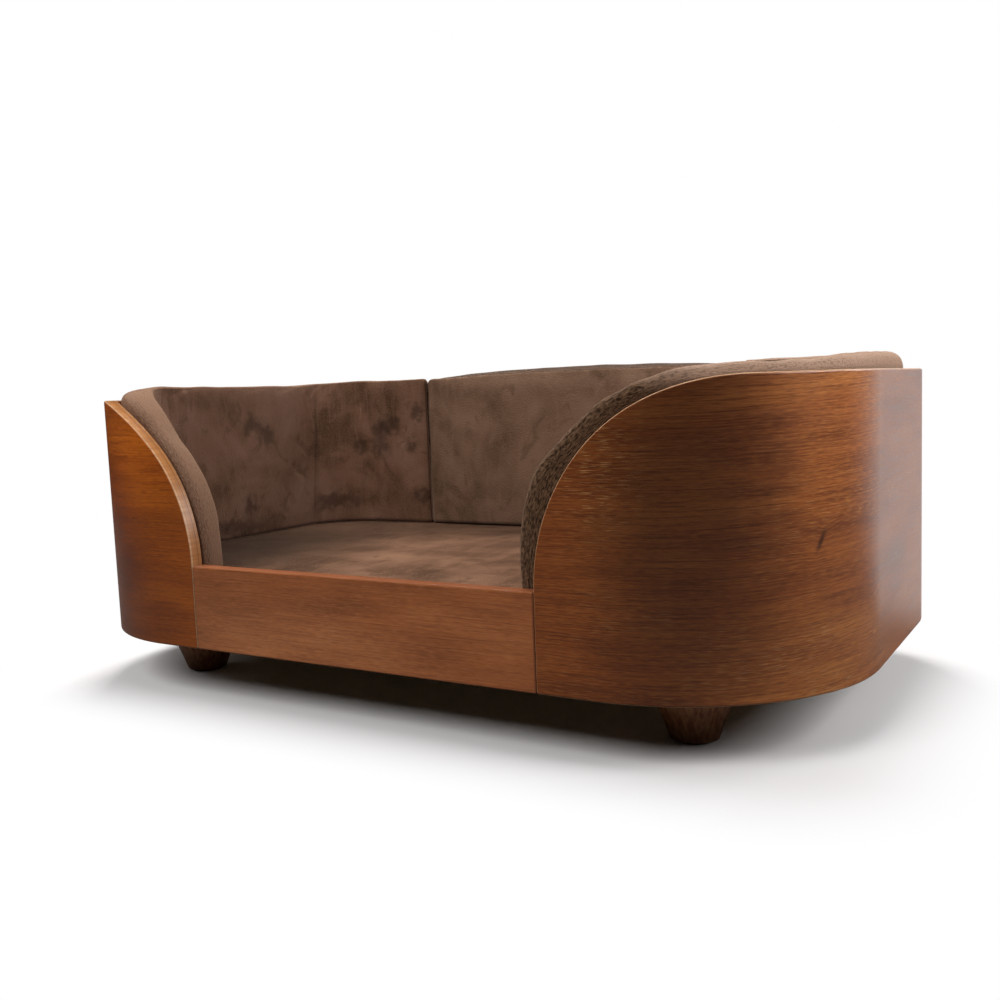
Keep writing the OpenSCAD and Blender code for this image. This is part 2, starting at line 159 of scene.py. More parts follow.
def veneer(name, seed, deep, middle, pale, fleck, light_and_tone_patches=(), dashes=None, knot=None, rise=0.0,
           stain=0.0):
    """Ash veneer, stained walnut and lacquered, over a birch plywood core that shows at the edges.

    light_and_tone_patches: places where the leaf is drawn darker or paler, mostly painted shade,
    painted highlights and a painted reflection of the floor. dashes: where its pale pores lie close.
    knot: where a small knot leans over. rise: how far its grain climbs round the bend.
    stain: how far the stain covers the edges of its plies.
    """
    m = new_material(name)
    face = add(m, "UVMap", uv_map="sheet").outputs[0]
    # Grain lines wander over a hand's width, and ripple every couple of centimetres
    wide_sway = grain(m, face, 170 * MM, 70 * MM, seed + 3, 1.0)
    ripple = grain(m, face, 26 * MM, 30 * MM, seed + 5, 0.0)
    sway = add(m, "MapRange", {"Value": wide_sway, "To Min": -1.6 * MM,
                               "To Max": 1.6 * MM}).outputs[0]
    wave = add(m, "MapRange", {"Value": ripple, "To Min": -0.35 * MM,
                               "To Max": 0.35 * MM}).outputs[0]
    lift = add(m, "Math", {0: sway, 1: wave}, operation="ADD").outputs[0]
    run = add(m, "SeparateXYZ", {0: face}).outputs["X"]
    climb = add(m, "MapRange", {"Value": run, "From Min": 0.13, "From Max": 0.3,
                                "To Max": -rise}).outputs[0]
    lift = add(m, "Math", {0: lift, 1: climb}, operation="ADD").outputs[0]
    if knot:
        # Grain parts round a small knot that leans over
        from_knot = add(m, "VectorMath", {0: face, 1: knot + (0,)}, operation="SUBTRACT")
        upright = add(m, "VectorRotate", {0: from_knot.outputs[0], "Angle": math.radians(28)},
                      rotation_type="Z_AXIS")
        flat = add(m, "Mapping", {"Vector": upright.outputs[0], "Scale": (1, 0.25, 1)})
        reach = add(m, "VectorMath", {0: flat.outputs[0]}, operation="LENGTH").outputs["Value"]
        near = add(m, "MapRange", {"Value": reach, "From Min": 0, "From Max": 9 * MM,
                                   "To Min": 1.0, "To Max": 0.0}, interpolation_type="SMOOTHERSTEP")
        shove = add(m, "Math", {0: near.outputs[0], 1: 1.2 * MM}, operation="MULTIPLY").outputs[0]
        lift = add(m, "Math", {0: lift, 1: shove}, operation="ADD").outputs[0]
    drift = add(m, "CombineXYZ", {"Y": lift}).outputs[0]
    sheet = add(m, "VectorMath", {0: face, 1: drift}, operation="ADD").outputs[0]
    cloud = grain(m, sheet, 150 * MM, 34 * MM, seed, 2.0)
    bands = grain(m, sheet, 230 * MM, 7 * MM, seed + 11, 2.0)
    lines = grain(m, sheet, 60 * MM, 1.15 * MM, seed + 17, 2.0)
    hairs = grain(m, sheet, 8 * MM, 0.8 * MM, seed + 19, 1.0)
    flecks = grain(m, sheet, 12 * MM, 0.5 * MM, seed + 23, 1.0)
    where = grain(m, sheet, 70 * MM, 30 * MM, seed + 41, 1.0)
    base = add(m, "ValToRGB", {"Fac": cloud}, [(0.2, deep), (0.5, middle), (0.85, pale)]).outputs[0]
    for marks, first, last, most, shade in (
            (bands, 0.52, 0.36, 0.18, deep), (lines, 0.5, 0.34, 0.6, deep),
            (lines, 0.52, 0.68, 0.35, pale), (hairs, 0.47, 0.3, 0.45, deep),
            (hairs, 0.54, 0.7, 0.4, pale)):
        share = add(m, "MapRange", {"Value": marks, "From Min": first, "From Max": last,
                                    "To Max": most}).outputs[0]
        base = add(m, "Mix", {0: share, 6: base, 7: shade}, data_type="RGBA").outputs[2]
    # Light dashes: filled pores of the ash, close together in some places. A real pore is about
    # 0.3 mm wide, and is drawn 0.5 mm wide so that it shows
    mark = add(m, "MapRange", {"Value": flecks, "From Min": 0.59, "From Max": 0.67,
                               "To Max": 0.55}).outputs[0]
    dense = add(m, "MapRange", {"Value": where, "From Min": 0.42, "From Max": 0.66,
                                "To Min": 0.05, "To Max": 0.4}).outputs[0]
    if dashes:
        patch = soft_patch(m, face, dashes, (45 * MM, 85 * MM))
        dense = add(m, "Math", {0: dense, 1: patch}, operation="MAXIMUM").outputs[0]
    share = add(m, "Math", {0: mark, 1: dense}, operation="MULTIPLY").outputs[0]
    base = add(m, "Mix", {0: share, 6: base, 7: fleck}, data_type="RGBA").outputs[2]
    # Broad patches with ragged edges, drawn darker or paler: mostly painted shade, painted
    # highlights and a painted reflection of the floor near the foot
    ragged = grain(m, sheet, 60 * MM, 14 * MM, seed + 31, 3.0)
    stray = add(m, "MapRange", {"Value": ragged, "To Min": -22 * MM, "To Max": 22 * MM}).outputs[0]
    stray = add(m, "CombineXYZ", {"X": stray}).outputs[0]
    loose_face = add(m, "VectorMath", {0: face, 1: stray}, operation="ADD").outputs[0]
    base = toned(m, loose_face, base, light_and_tone_patches)
    if knot:
        heart = add(m, "MapRange", {"Value": reach, "From Min": 0.3 * MM, "From Max": 3 * MM,
                                    "To Min": 0.75, "To Max": 0.0},
                    interpolation_type="SMOOTHSTEP").outputs[0]
        base = add(m, "Mix", {0: heart, 6: base, 7: "#1c0c04"}, data_type="RGBA").outputs[2]
    # Edges: veneer, then pale plies with a dark glue line
    depth = add(m, "Attribute", attribute_name="depth").outputs["Fac"]
    share_in = add(m, "Math", {0: depth, 1: PLY}, operation="DIVIDE").outputs[0]
    plies = add(m, "ValToRGB", {"Fac": share_in}, [
        (0.0, "#bd9278"), (0.08, "#c39a74"), (0.2, "#a46c3e"), (0.34, "#ab7546"),
        (0.5, "#9c683c"), (0.6, "#a46c3e"), (0.66, "#4d2b15"), (0.7, "#a87242"),
        (0.86, "#96643a"), (0.96, "#b08660")]).outputs[0]
    streak = grain(m, sheet, 30 * MM, 2.5 * MM, seed + 53, 2.0)
    dull = add(m, "MapRange", {"Value": streak, "From Min": 0.4, "From Max": 0.65,
                               "To Max": 0.4}).outputs[0]
    core = add(m, "Mix", {0: dull, 6: plies, 7: "#7c4a24"}, data_type="RGBA").outputs[2]
    core = add(m, "Mix", {0: stain, 6: core, 7: "#84492e"}, data_type="RGBA").outputs[2]
    middle_off = add(m, "Math", {0: share_in, 1: 0.5}, operation="SUBTRACT").outputs[0]
    off = add(m, "Math", {0: middle_off}, operation="ABSOLUTE").outputs[0]
    inside = add(m, "MapRange", {"Value": off, "From Min": 0.5 - 0.2 * MM / PLY,
                                 "From Max": 0.5 - 0.5 * MM / PLY}).outputs[0]
    colour = add(m, "Mix", {0: inside, 6: base, 7: core}, data_type="RGBA").outputs[2]
    # Satin lacquer, with the grain just felt through it
    dim = add(m, "MapRange", {"Value": lines, "From Min": 0.3, "From Max": 0.7,
                              "To Min": 0.3, "To Max": 0.38}).outputs[0]
    relief = add(m, "Math", {0: flecks, 1: lines}, operation="ADD").outputs[0]
    bump = add(m, "Bump", {"Height": relief, "Strength": 0.15, "Distance": 0.25 * MM})
    shader = add(m, "BsdfPrincipled", {
        "Base Color": colour, "Roughness": dim, "Normal": bump.outputs[0], "IOR": 1.5})
    return finish_material(m, shader)


def turned_wood(name, dark, pale):
    """Beech, turned and stained dark: grain runs up the leg under a satin lacquer.

    Towards the foot the colour is painted darker, as painted shade under the sofa.
    """
    m = new_material(name)
    place = add(m, "TexCoord").outputs["Object"]
    across, along = 1 / (2.5 * MM), 1 / (45 * MM)
    spot = add(m, "Mapping", {"Vector": place, "Scale": (across, across, along)})
    fibre = add(m, "TexNoise", {"Vector": spot.outputs[0], "Scale": 1.0,
                                "Detail": 3.0}).outputs["Fac"]
    base = add(m, "ValToRGB", {"Fac": fibre}, [(0.35, dark), (0.65, pale)]).outputs[0]
    # Painted shade: the colour falls to 0.35 of itself towards the foot
    height = add(m, "SeparateXYZ", {0: place}).outputs["Z"]
    gain = add(m, "MapRange", {"Value": height, "From Min": 4 * MM, "From Max": 42 * MM,
                               "To Min": 0.35, "To Max": 1.0}).outputs[0]
    base = add(m, "VectorMath", {0: base, "Scale": gain}, operation="SCALE").outputs[0]
    bump = add(m, "Bump", {"Height": fibre, "Strength": 0.1, "Distance": 0.2 * MM})
    shader = add(m, "BsdfPrincipled", {
        "Base Color": base, "Roughness": 0.36, "Normal": bump.outputs[0], "IOR": 1.5,
        "Coat Weight": 0.4, "Coat Roughness": 0.2})
    return finish_material(m, shader)


def plain_wood(name, dark, pale, length, width, axis_x=True):
    """Sanded, unfinished wood: grain marks of a real length and width along X or Y."""
    m = new_material(name)
    place = add(m, "TexCoord").outputs["Object"]
    along = (1 / length, 1 / width, 1 / width) if axis_x else (1 / width, 1 / length, 1 / width)
    spot = add(m, "Mapping", {"Vector": place, "Scale": along})
    fibre = add(m, "TexNoise", {"Vector": spot.outputs[0], "Scale": 1.0, "Detail": 4.0,
                                "Distortion": 0.2}).outputs["Fac"]
    base = add(m, "ValToRGB", {"Fac": fibre}, [(0.32, dark), (0.68, pale)]).outputs[0]
    bump = add(m, "Bump", {"Height": fibre, "Strength": 0.25, "Distance": 0.3 * MM})
    shader = add(m, "BsdfPrincipled", {
        "Base Color": base, "Roughness": 0.62, "Normal": bump.outputs[0], "IOR": 1.5})
    return finish_material(m, shader)


def plated_steel(name, shade, bright):
    """Steel under a thin zinc plate: dull and bright spots of about 3 mm, as zinc dries."""
    m = new_material(name)
    place = add(m, "TexCoord").outputs["Object"]
    spangle = add(m, "TexNoise", {"Vector": place, "Scale": 1 / (3 * MM),
                                  "Detail": 3.0}).outputs["Fac"]
    base = add(m, "ValToRGB", {"Fac": spangle}, [(0.35, shade), (0.7, bright)]).outputs[0]
    dull = add(m, "MapRange", {"Value": spangle, "To Min": 0.28, "To Max": 0.46}).outputs[0]
    shader = add(m, "BsdfPrincipled", {"Base Color": base, "Roughness": dull, "Metallic": 1.0})
    return finish_material(m, shader)


def fibrous(name, dark, pale, mark, roughness):
    """Pressed or woven fibres: a fine speckle. Single fibres are too fine to show, so a mark stands
    for a tuft of them."""
    m = new_material(name)
    place = add(m, "TexCoord").outputs["Object"]
    speck = add(m, "TexNoise", {"Vector": place, "Scale": 1 / mark, "Detail": 3.0}).outputs["Fac"]
    base = add(m, "ValToRGB", {"Fac": speck}, [(0.35, dark), (0.65, pale)]).outputs[0]
    bump = add(m, "Bump", {"Height": speck, "Strength": 0.6, "Distance": 0.5 * MM})
    shader = add(m, "BsdfPrincipled", {
        "Base Color": base, "Roughness": roughness, "Normal": bump.outputs[0], "IOR": 1.45})
    return finish_material(m, shader)


def plush(name, dark, middle, pale, rim_dark, rim_pale, roll, seed, sheen, light_and_tone_patches=(), shade_spots=(),
          hem=None):
    """Short knitted polyester pile: brushed patches lie light or dark, and the edges catch light.

    rim_dark, rim_pale: pile of the boxing strips. roll: pile that rolls over to the wall; on the
    bolsters it is a painted highlight along the top.
    shade_spots: run, height and reach in mm of places painted darker as shade, in folds and low
    on the panel.
    hem: how far along the room-side panel ends.
    """
    m = new_material(name)
    place = add(m, "TexCoord").outputs["Object"]
    cloth = add(m, "UVMap", uv_map="cloth").outputs[0]
    patch = add(m, "TexNoise", {"Vector": place, "W": seed, "Scale": 1 / (75 * MM), "Detail": 3.0,
                                "Roughness": 0.6, "Distortion": 0.6}, noise_dimensions="4D")
    brushed = add(m, "Mapping", {"Vector": cloth, "Scale": (1 / (9 * MM), 1 / (38 * MM), 1),
                                 "Location": (seed, seed, 0)})
    brush = add(m, "TexNoise", {"Vector": brushed.outputs[0], "Scale": 1.0, "Detail": 2.0,
                                "Distortion": 0.8}).outputs["Fac"]
    smear = add(m, "TexNoise", {"Vector": place, "Scale": 1 / (24 * MM), "Detail": 2.0,
                                "Distortion": 1.2}).outputs["Fac"]
    # Pile is about 0.3 mm thick, and is drawn in tufts of 1.6 mm so that it shows
    nap = add(m, "TexNoise", {"Vector": place, "Scale": 1 / (1.6 * MM),
                              "Detail": 2.0}).outputs["Fac"]
    base = add(m, "ValToRGB", {"Fac": patch.outputs["Fac"]},
               [(0.36, dark), (0.5, middle), (0.66, pale)]).outputs[0]
    for marks, first, last, most, shade in (
            (brush, 0.5, 0.72, 0.35, pale), (smear, 0.42, 0.3, 0.55, dark),
            (nap, 0.4, 0.68, 0.3, pale)):
        share = add(m, "MapRange", {"Value": marks, "From Min": first, "From Max": last,
                                    "To Max": most}).outputs[0]
        base = add(m, "Mix", {0: share, 6: base, 7: shade}, data_type="RGBA").outputs[2]
    base = toned(m, place, base, light_and_tone_patches)
    # Painted shade spots have crooked outlines, pushed about by up to 13 mm
    push = add(m, "TexNoise", {"Vector": place, "Scale": 1 / (9 * MM), "Detail": 2.0})
    shove = add(m, "Mapping", {"Vector": push.outputs["Color"], "Scale": (26 * MM, 26 * MM, 0),
                               "Location": (-13 * MM, -13 * MM, 0)})
    crooked = add(m, "VectorMath", {0: cloth, 1: shove.outputs[0]}, operation="ADD").outputs[0]
    base = toned(m, crooked, base, [((run * MM, z * MM), (reach * MM, 15 * MM), 0.5)
                                    for run, z, reach in shade_spots])
    chart = add(m, "SeparateXYZ", {0: cloth}).outputs
    along, up = chart["X"], chart["Y"]
    if hem:
        # Where a panel turns in at its foot or its end, the pile lies in its own shadow
        out = add(m, "Math", {0: along}, operation="ABSOLUTE").outputs[0]
        foot = add(m, "MapRange", {"Value": up, "From Min": PAD_LOW + 5 * MM,
                                   "From Max": PAD_LOW}).outputs[0]
        end = add(m, "MapRange", {"Value": out, "From Min": hem - 2.5 * MM,
                                  "From Max": hem}).outputs[0]
        turned = add(m, "Math", {0: foot, 1: end}, operation="MAXIMUM").outputs[0]
        base = add(m, "Mix", {0: turned, 6: base, 7: "#140d09"}, data_type="RGBA").outputs[2]
    # Boxing strips: the pile lies along the strip and parts in short streaks
    lain = add(m, "Mapping", {"Vector": cloth, "Rotation": (0, 0, math.radians(12)),
                              "Scale": (1 / (3.2 * MM), 1 / (1 * MM), 1)})
    streak = add(m, "TexNoise", {"Vector": lain.outputs[0], "Scale": 1.0, "Detail": 2.0,
                                 "Distortion": 0.5}).outputs["Fac"]
    rim = add(m, "ValToRGB", {"Fac": streak}, [(0.36, rim_dark), (0.66, rim_pale)]).outputs[0]
    # Strips have charts that start 1 m up. Past 6 mm in, and all along the top, the roll shows: on
    # the bolsters a painted highlight where the cover faces up
    uneven = add(m, "MapRange", {"Value": streak, "From Min": 0.3, "From Max": 0.7,
                                 "To Min": -2.5 * MM, "To Max": 2.5 * MM}).outputs[0]
    over = add(m, "Math", {0: up, 1: uneven}, operation="ADD").outputs[0]
    ridge = add(m, "MapRange", {"Value": over, "From Min": 1 + 6 * MM,
                                "From Max": 1 + 12 * MM}).outputs[0]
    at_top = add(m, "MapRange", {"Value": along, "From Min": 0.15, "From Max": 0.19}).outputs[0]
    on_roll = add(m, "Math", {0: ridge, 1: at_top}, operation="MAXIMUM").outputs[0]
    parted = add(m, "MapRange", {"Value": streak, "From Min": 0.5, "From Max": 0.35,
                                 "To Max": 0.35}).outputs[0]
    light_roll = add(m, "Mix", {0: parted, 6: roll, 7: rim}, data_type="RGBA").outputs[2]
    rim = add(m, "Mix", {0: on_roll, 6: rim, 7: light_roll}, data_type="RGBA").outputs[2]
    on_rim = add(m, "MapRange", {"Value": up, "From Min": 1 - 45 * MM,
                                 "From Max": 1 - 20 * MM}).outputs[0]
    colour = add(m, "Mix", {0: on_rim, 6: base, 7: rim}, data_type="RGBA").outputs[2]
    tuft = add(m, "Mix", {0: on_rim, 6: nap, 7: streak}, data_type="RGBA").outputs[2]
    bump = add(m, "Bump", {"Height": tuft, "Strength": 0.7, "Distance": 1.2 * MM})
    shader = add(m, "BsdfPrincipled", {
        "Base Color": colour, "Roughness": 0.92, "Normal": bump.outputs[0], "IOR": 1.4,
        "Specular IOR Level": 0.2, "Sheen Weight": sheen, "Sheen Roughness": 0.42,
        "Sheen Tint": "#dcb9a2"})
    return finish_material(m, shader)


# Finishes -----------------------------------------------------------------------------------------
# Walls and boards: sliced ash veneer on bent birch plywood, stained walnut and sprayed with satin
# lacquer. To the eye: warm red brown, fine dark grain, pale filled pores, a soft gleam at bends
# Painted light on the right wall: the middle of the bend is painted darker as shade, its top near the
# side is painted paler and golden as a highlight, and its foot is painted paler and bluer as a
# reflection of the floor
right_veneer = veneer(
    "walnut stained ash veneer, right wall", 2.0, "#51240f", "#7e411b", "#9a5926", "#d29c62",
    light_and_tone_patches=(((105 * MM, 170 * MM), (90 * MM, 210 * MM), (0.42, 0.45, 0.58)),
           ((215 * MM, 215 * MM), (80 * MM, 120 * MM), (1.75, 1.95, 1.8)),
           ((210 * MM, 50 * MM), (140 * MM, 80 * MM), (1.35, 1.7, 2.2))),
    dashes=(50 * MM, 202 * MM), knot=(195 * MM, 144 * MM), rise=6 * MM)
# Painted light on the left wall: its leaf is drawn more orange than the right wall's as painted warm
# bounced light, its top is painted paler as a highlight, and its foot and far edge are painted darker
# as shade
left_veneer = veneer(
    "walnut stained ash veneer, left wall", 14.0, "#622d0a", "#8c440e", "#a25614", "#a8621e",
    light_and_tone_patches=(((70 * MM, 235 * MM), (110 * MM, 110 * MM), 1.5),
           ((90 * MM, 70 * MM), (110 * MM, 70 * MM), (0.72, 0.72, 1.2)),
           ((112 * MM, 110 * MM), (70 * MM, 140 * MM), (0.6, 0.45, 0.25))))
# On the boards: a slightly darker patch, and along the foot a paler, bluer band painted as a
# reflection of the floor
board_veneer = veneer(
    "walnut stained ash veneer, boards", 27.0, "#744023", "#9a5830", "#b06c40", "#c08e68",
    light_and_tone_patches=(((90 * MM, 100 * MM), (90 * MM, 60 * MM), 0.9),
           ((130 * MM, 55 * MM), (200 * MM, 50 * MM), (1.2, 1.35, 1.55))), stain=0.85)
# Legs: turned beech, dipped in dark stain and lacquered. To the eye: dark brown with a thin gloss
leg_finish = turned_wood("stained beech", "#a85e36", "#dc9a68")
# Base board: sanded birch plywood, left raw. To the eye: pale straw colour with long soft figure
birch = plain_wood("birch plywood", "#b0905f", "#d6b98a", 60 * MM, 5 * MM)
# Cleats: planed pine, left raw. To the eye: yellow wood with clear straight growth lines
pine = plain_wood("planed pine", "#b58a55", "#dab880", 90 * MM, 4 * MM)
pine_across = plain_wood("planed pine, side cleats", "#b58a55", "#dab880", 90 * MM, 4 * MM, False)
# Dowels: fluted beech. To the eye: pinkish wood with short fine flecks
beech = plain_wood("beech dowel", "#b08457", "#d3a878", 25 * MM, 1.5 * MM)
# Plates, bolts and screws: rolled or pressed steel, zinc plated. To the eye: cool grey metal, and a
# warm yellow tinge on the screws that were passivated
zinc = plated_steel("zinc plated steel", "#8f9296", "#c4c6c8")
yellow_zinc = plated_steel("yellow zinc plated steel", "#a88f55", "#d6c083")
# Glides: pressed wool felt. To the eye: dark, dull and a little furry
felt = fibrous("pressed felt", "#26221f", "#3d3833", 0.6 * MM, 0.95)
# Tapes: woven nylon with moulded hooks. To the eye: near black with a regular prickle
hooks = fibrous("nylon hook tape", "#0f0d0c", "#2a2624", 1.1 * MM, 0.6)
# Covers: knitted polyester plush over foam. To the eye: soft brown that is dark where the pile
# points at the viewer, pale where it was brushed away, and lit along every edge. The four covers
# are one cloth drawn in four colourings that differ partly as painted light: the back cushion is
# drawn paler as painted light, and the right bolster's strips darker, partly as painted shade
# Seat: painted shadow along its left side, under the left bolster, and painted shade along the back
# cushion
seat_plush = plush(
    "brown plush, seat", "#3f2a1d", "#5f4433", "#785844", "#1c1410", "#2c2018", "#2c2018", 3.0,
    0.15, light_and_tone_patches=(((-0.25, -0.09), (0.2, 0.3), 0.16), ((-0.1, 0.17), (0.25, 0.1), 0.75)))
# Left bolster: its side panel and rear corner are painted darker than its rear part as shade, with
# painted shade spots in its folds and low on the panel
left_plush = plush(
    "brown plush, left", "#4b3424", "#6a4c3b", "#7c5d4d", "#513a2c", "#725543", "#765946", 9.0,
    0.35, light_and_tone_patches=(((-0.34, -0.02), (0.12, 0.2), 0.84), ((-0.34, 0.1), (0.06, 0.1), 0.75)),
    shade_spots=((353, 220, 24), (372, 208, 20), (342, 134, 15), (560, 190, 22), (599, 205, 26),
             (598, 187, 22), (614, 214, 24), (641, 190, 14), (650, 229, 14), (653, 131, 18),
             (300, 115, 110), (500, 128, 80)),
    hem=BOLSTER_END + LEFT_LEAN + 0.5 * MM)
# Right bolster: its strips are drawn dark, partly pile that points away and partly painted shade, and
# the roll over its top is drawn pale as a painted highlight
right_plush = plush(
    "brown plush, right", "#402e25", "#5e463a", "#715847", "#281b12", "#6a503c", "#957a68", 17.0,
    0.4, hem=BOLSTER_END + 0.5 * MM)
back_plush = plush(
    "brown plush, back", "#54402f", "#705544", "#826552", "#1e1611", "#3c2e25", "#33261e", 5.0,
    0.4, hem=BACK_HALF)

for names, finish in (
        (("base_board",), birch), (("front_cleat", "back_cleat"), pine),
        (("left_cleat", "right_cleat"), pine_across), (("seam_dowels",), beech),
        (("front_left_plate", "front_right_plate", "rear_left_plates", "rear_right_plates",
          "plate_screws", "leg_bolts", "leg_tee_nuts"), zinc),
        (("cleat_screws", "base_screws"), yellow_zinc), (("leg_glides",), felt),
        (("left_tapes", "right_tapes", "back_tapes"), hooks)):
    for name in names:
        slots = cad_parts[name].data.materials
        slots.clear()
        slots.append(finish)


# Modelling helpers --------------------------------------------------------------------------------
def choose(piece, faces):
    """Selects the faces of a mesh in edit mode that a test accepts, and nothing else."""
    bpy.ops.object.mode_set(mode="OBJECT")
    mesh = piece.data
    for part in (mesh.vertices, mesh.edges, mesh.polygons):
        part.foreach_set("select", [False] * len(part))
    for face in mesh.polygons:
        face.select = faces(face)
    bpy.ops.object.mode_set(mode="EDIT")
    bpy.ops.mesh.select_mode(type="FACE")


def named(name):
    """Names the piece just added, and puts its place, turn and scale into its mesh."""
    piece = bpy.context.object
    piece.name = piece.data.name = name
    bpy.ops.object.transform_apply(location=True, rotation=True, scale=True)
    return piece


def apply_modifiers(piece):
    bpy.context.view_layer.objects.active = piece
    for modifier in list(piece.modifiers):
        bpy.ops.object.modifier_apply(modifier=modifier.name)


def only(piece):
    bpy.ops.object.select_all(action="DESELECT")
    piece.select_set(True)
    bpy.context.view_layer.objects.active = piece


def face_out(piece, apart=0.01 * MM):
    """Joins corners closer than this to each other, and turns all faces outwards."""
    only(piece)
    bpy.ops.object.mode_set(mode="EDIT")
    bpy.ops.mesh.select_all(action="SELECT")
    bpy.ops.mesh.remove_doubles(threshold=apart)
    bpy.ops.mesh.normals_make_consistent(inside=False)
    bpy.ops.object.mode_set(mode="OBJECT")


def ease_edges(piece, width):
    """Rounds the sharp edges over, and keeps the flat faces flat in their shading."""
    only(piece)
    bevel = piece.modifiers.new("eased edges", "BEVEL")
    bevel.width, bevel.segments, bevel.use_clamp_overlap = width, 3, False
    bevel.limit_method, bevel.angle_limit = "ANGLE", math.radians(32)
    piece.data.shade_smooth()
    level = piece.modifiers.new("flat faces", "WEIGHTED_NORMAL")
    level.mode, level.weight, level.keep_sharp = "FACE_AREA", 50, False
    apply_modifiers(piece)


def box_between(name, low, high):
    """A plain box from its low corner to its high one."""
    middle = (Vector(low) + Vector(high)) / 2
    bpy.ops.mesh.primitive_cube_add(size=1, location=middle, scale=Vector(high) - Vector(low))
    return named(name)


def mark_sheet(piece, place, shift):
    """Writes the run and height of each corner as UVs, and its depth in from the outer face.

    shift: how far along its leaf of veneer the piece was cut from.
    """
    mesh = piece.data
    while mesh.uv_layers:
        mesh.uv_layers.remove(mesh.uv_layers[0])
    marks = [place(v.co) for v in mesh.vertices]
    layer = mesh.uv_layers.new(name="sheet")
    for loop in mesh.loops:
        run, height = marks[loop.vertex_index][0], mesh.vertices[loop.vertex_index].co.z
        layer.data[loop.index].uv = (run + shift, height)
    depth = mesh.attributes.new("depth", "FLOAT", "POINT")
    depth.data.foreach_set("value", [mark[1] for mark in marks])


def dress(piece, finish, node, body):
    """Gives a piece its finish, hides the node it stands for and hangs it on the body it rides on."""
    piece.data.materials.clear()
    piece.data.materials.append(finish)
    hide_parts(node)
    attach(piece, body)


# Bent walls ---------------------------------------------------------------------------------------
def wall_place(point):
    """Run along the outer face and depth in from it, for a point of the right-hand wall."""
    x, y = abs(point.x), point.y
    if y < FRONT_Y and x > FRONT_X:
        turn = math.atan2(x - FRONT_X, FRONT_Y - y)
        return FLAT_END + turn * FRONT_R, FRONT_R - math.hypot(x - FRONT_X, FRONT_Y - y)
    if y < FRONT_Y:
        return x - SEAM_X, y + DEEP_Y
    if y <= REAR_Y:
        return FRONT_END + y - FRONT_Y, END_X - x
    if x > REAR_X:
        turn = math.atan2(y - REAR_Y, x - REAR_X)
        return SIDE_END + turn * REAR_R, REAR_R - math.hypot(x - REAR_X, y - REAR_Y)
    return REAR_END + REAR_X - x, DEEP_Y - y


def spin(steps, centre):
    """Bends on from the chosen face by a quarter turn to the left round an upright axis."""
    bpy.ops.mesh.spin(steps=steps, angle=-math.pi / 2, center=centre, axis=(0, 0, 1))


def slide(move):
    """Draws the chosen faces out along a straight way."""
    bpy.ops.mesh.extrude_region_move(TRANSFORM_OT_translate={"value": move})


def bent_wall(name, side):
    """Bends a strip of plywood round the right end, cuts its arm line and turns it to its side."""
    middle_z = (WALL_LOW + WALL_TOP) / 2
    bpy.ops.mesh.primitive_plane_add(
        size=1, location=(FRONT_X, PLY / 2 - DEEP_Y, middle_z), rotation=(0, math.pi / 2, 0))
    bpy.context.object.scale = (WALL_TOP - WALL_LOW, PLY, 1)
    wall = named(name)
    bpy.ops.object.mode_set(mode="EDIT")
    bpy.ops.mesh.select_mode(type="FACE")
    bpy.ops.mesh.select_all(action="SELECT")
    slide((SEAM_X - FRONT_X, 0, 0))
    choose(wall, lambda face: abs(face.center.x - FRONT_X) < MM and abs(face.normal.x) > 0.9)
    spin(40, (FRONT_X, FRONT_Y, middle_z))
    slide((0, REAR_Y - FRONT_Y, 0))
    spin(36, (REAR_X, REAR_Y, middle_z))
    slide((SEAM_X - REAR_X, 0, 0))
    bpy.ops.object.mode_set(mode="OBJECT")
    face_out(wall)
    # What is cut away above the arm line
    over = 2 * MM
    cut = box_between("arm_cut", (SEAM_X - over, -DEEP_Y - over, ARM_Z),
                      (ARM_X, FRONT_Y, WALL_TOP + over))
    bpy.ops.mesh.primitive_cylinder_add(
        vertices=176, radius=ARM_R, depth=2 * DEEP_Y, location=(ARM_X, FRONT_Y, ARM_Z),
        rotation=(math.pi / 2, 0, 0))
    keep = named("arm_keep")
    for whole, tool in ((cut, keep), (wall, cut)):
        only(whole)
        work = whole.modifiers.new("arm line", "BOOLEAN")
        work.operation, work.object, work.solver = "DIFFERENCE", tool, "EXACT"
        apply_modifiers(whole)
    for tool in (cut, keep):
        bpy.data.objects.remove(tool)
    # Points of the arm line that fall beside an edge of the bend would fold the easing over
    face_out(wall, 1.2 * MM)
    if side < 0:
        only(wall)
        bpy.ops.transform.mirror(constraint_axis=(True, False, False), center_override=(0, 0, 0))
        named(name)
    face_out(wall)
    ease_edges(wall, EASE)
    return wall


for name, side, finish, node in (("right_wall", 1, right_veneer, "right_shell"),
                                 ("left_wall", -1, left_veneer, "left_shell")):
    wall = bent_wall(name, side)
    mark_sheet(wall, wall_place, 0)
    dress(wall, finish, node, "frame")

for name, node, outer, shift in (("low_front_board", "front_board", -1, 0.2),
                                 ("tall_back_board", "back_board", 1, 0.6)):
    board = box_between(name, *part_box(node))
    ease_edges(board, EASE)
    mark_sheet(board, lambda point: (point.x, DEEP_Y - outer * point.y), shift)
    dress(board, board_veneer, node, "frame")


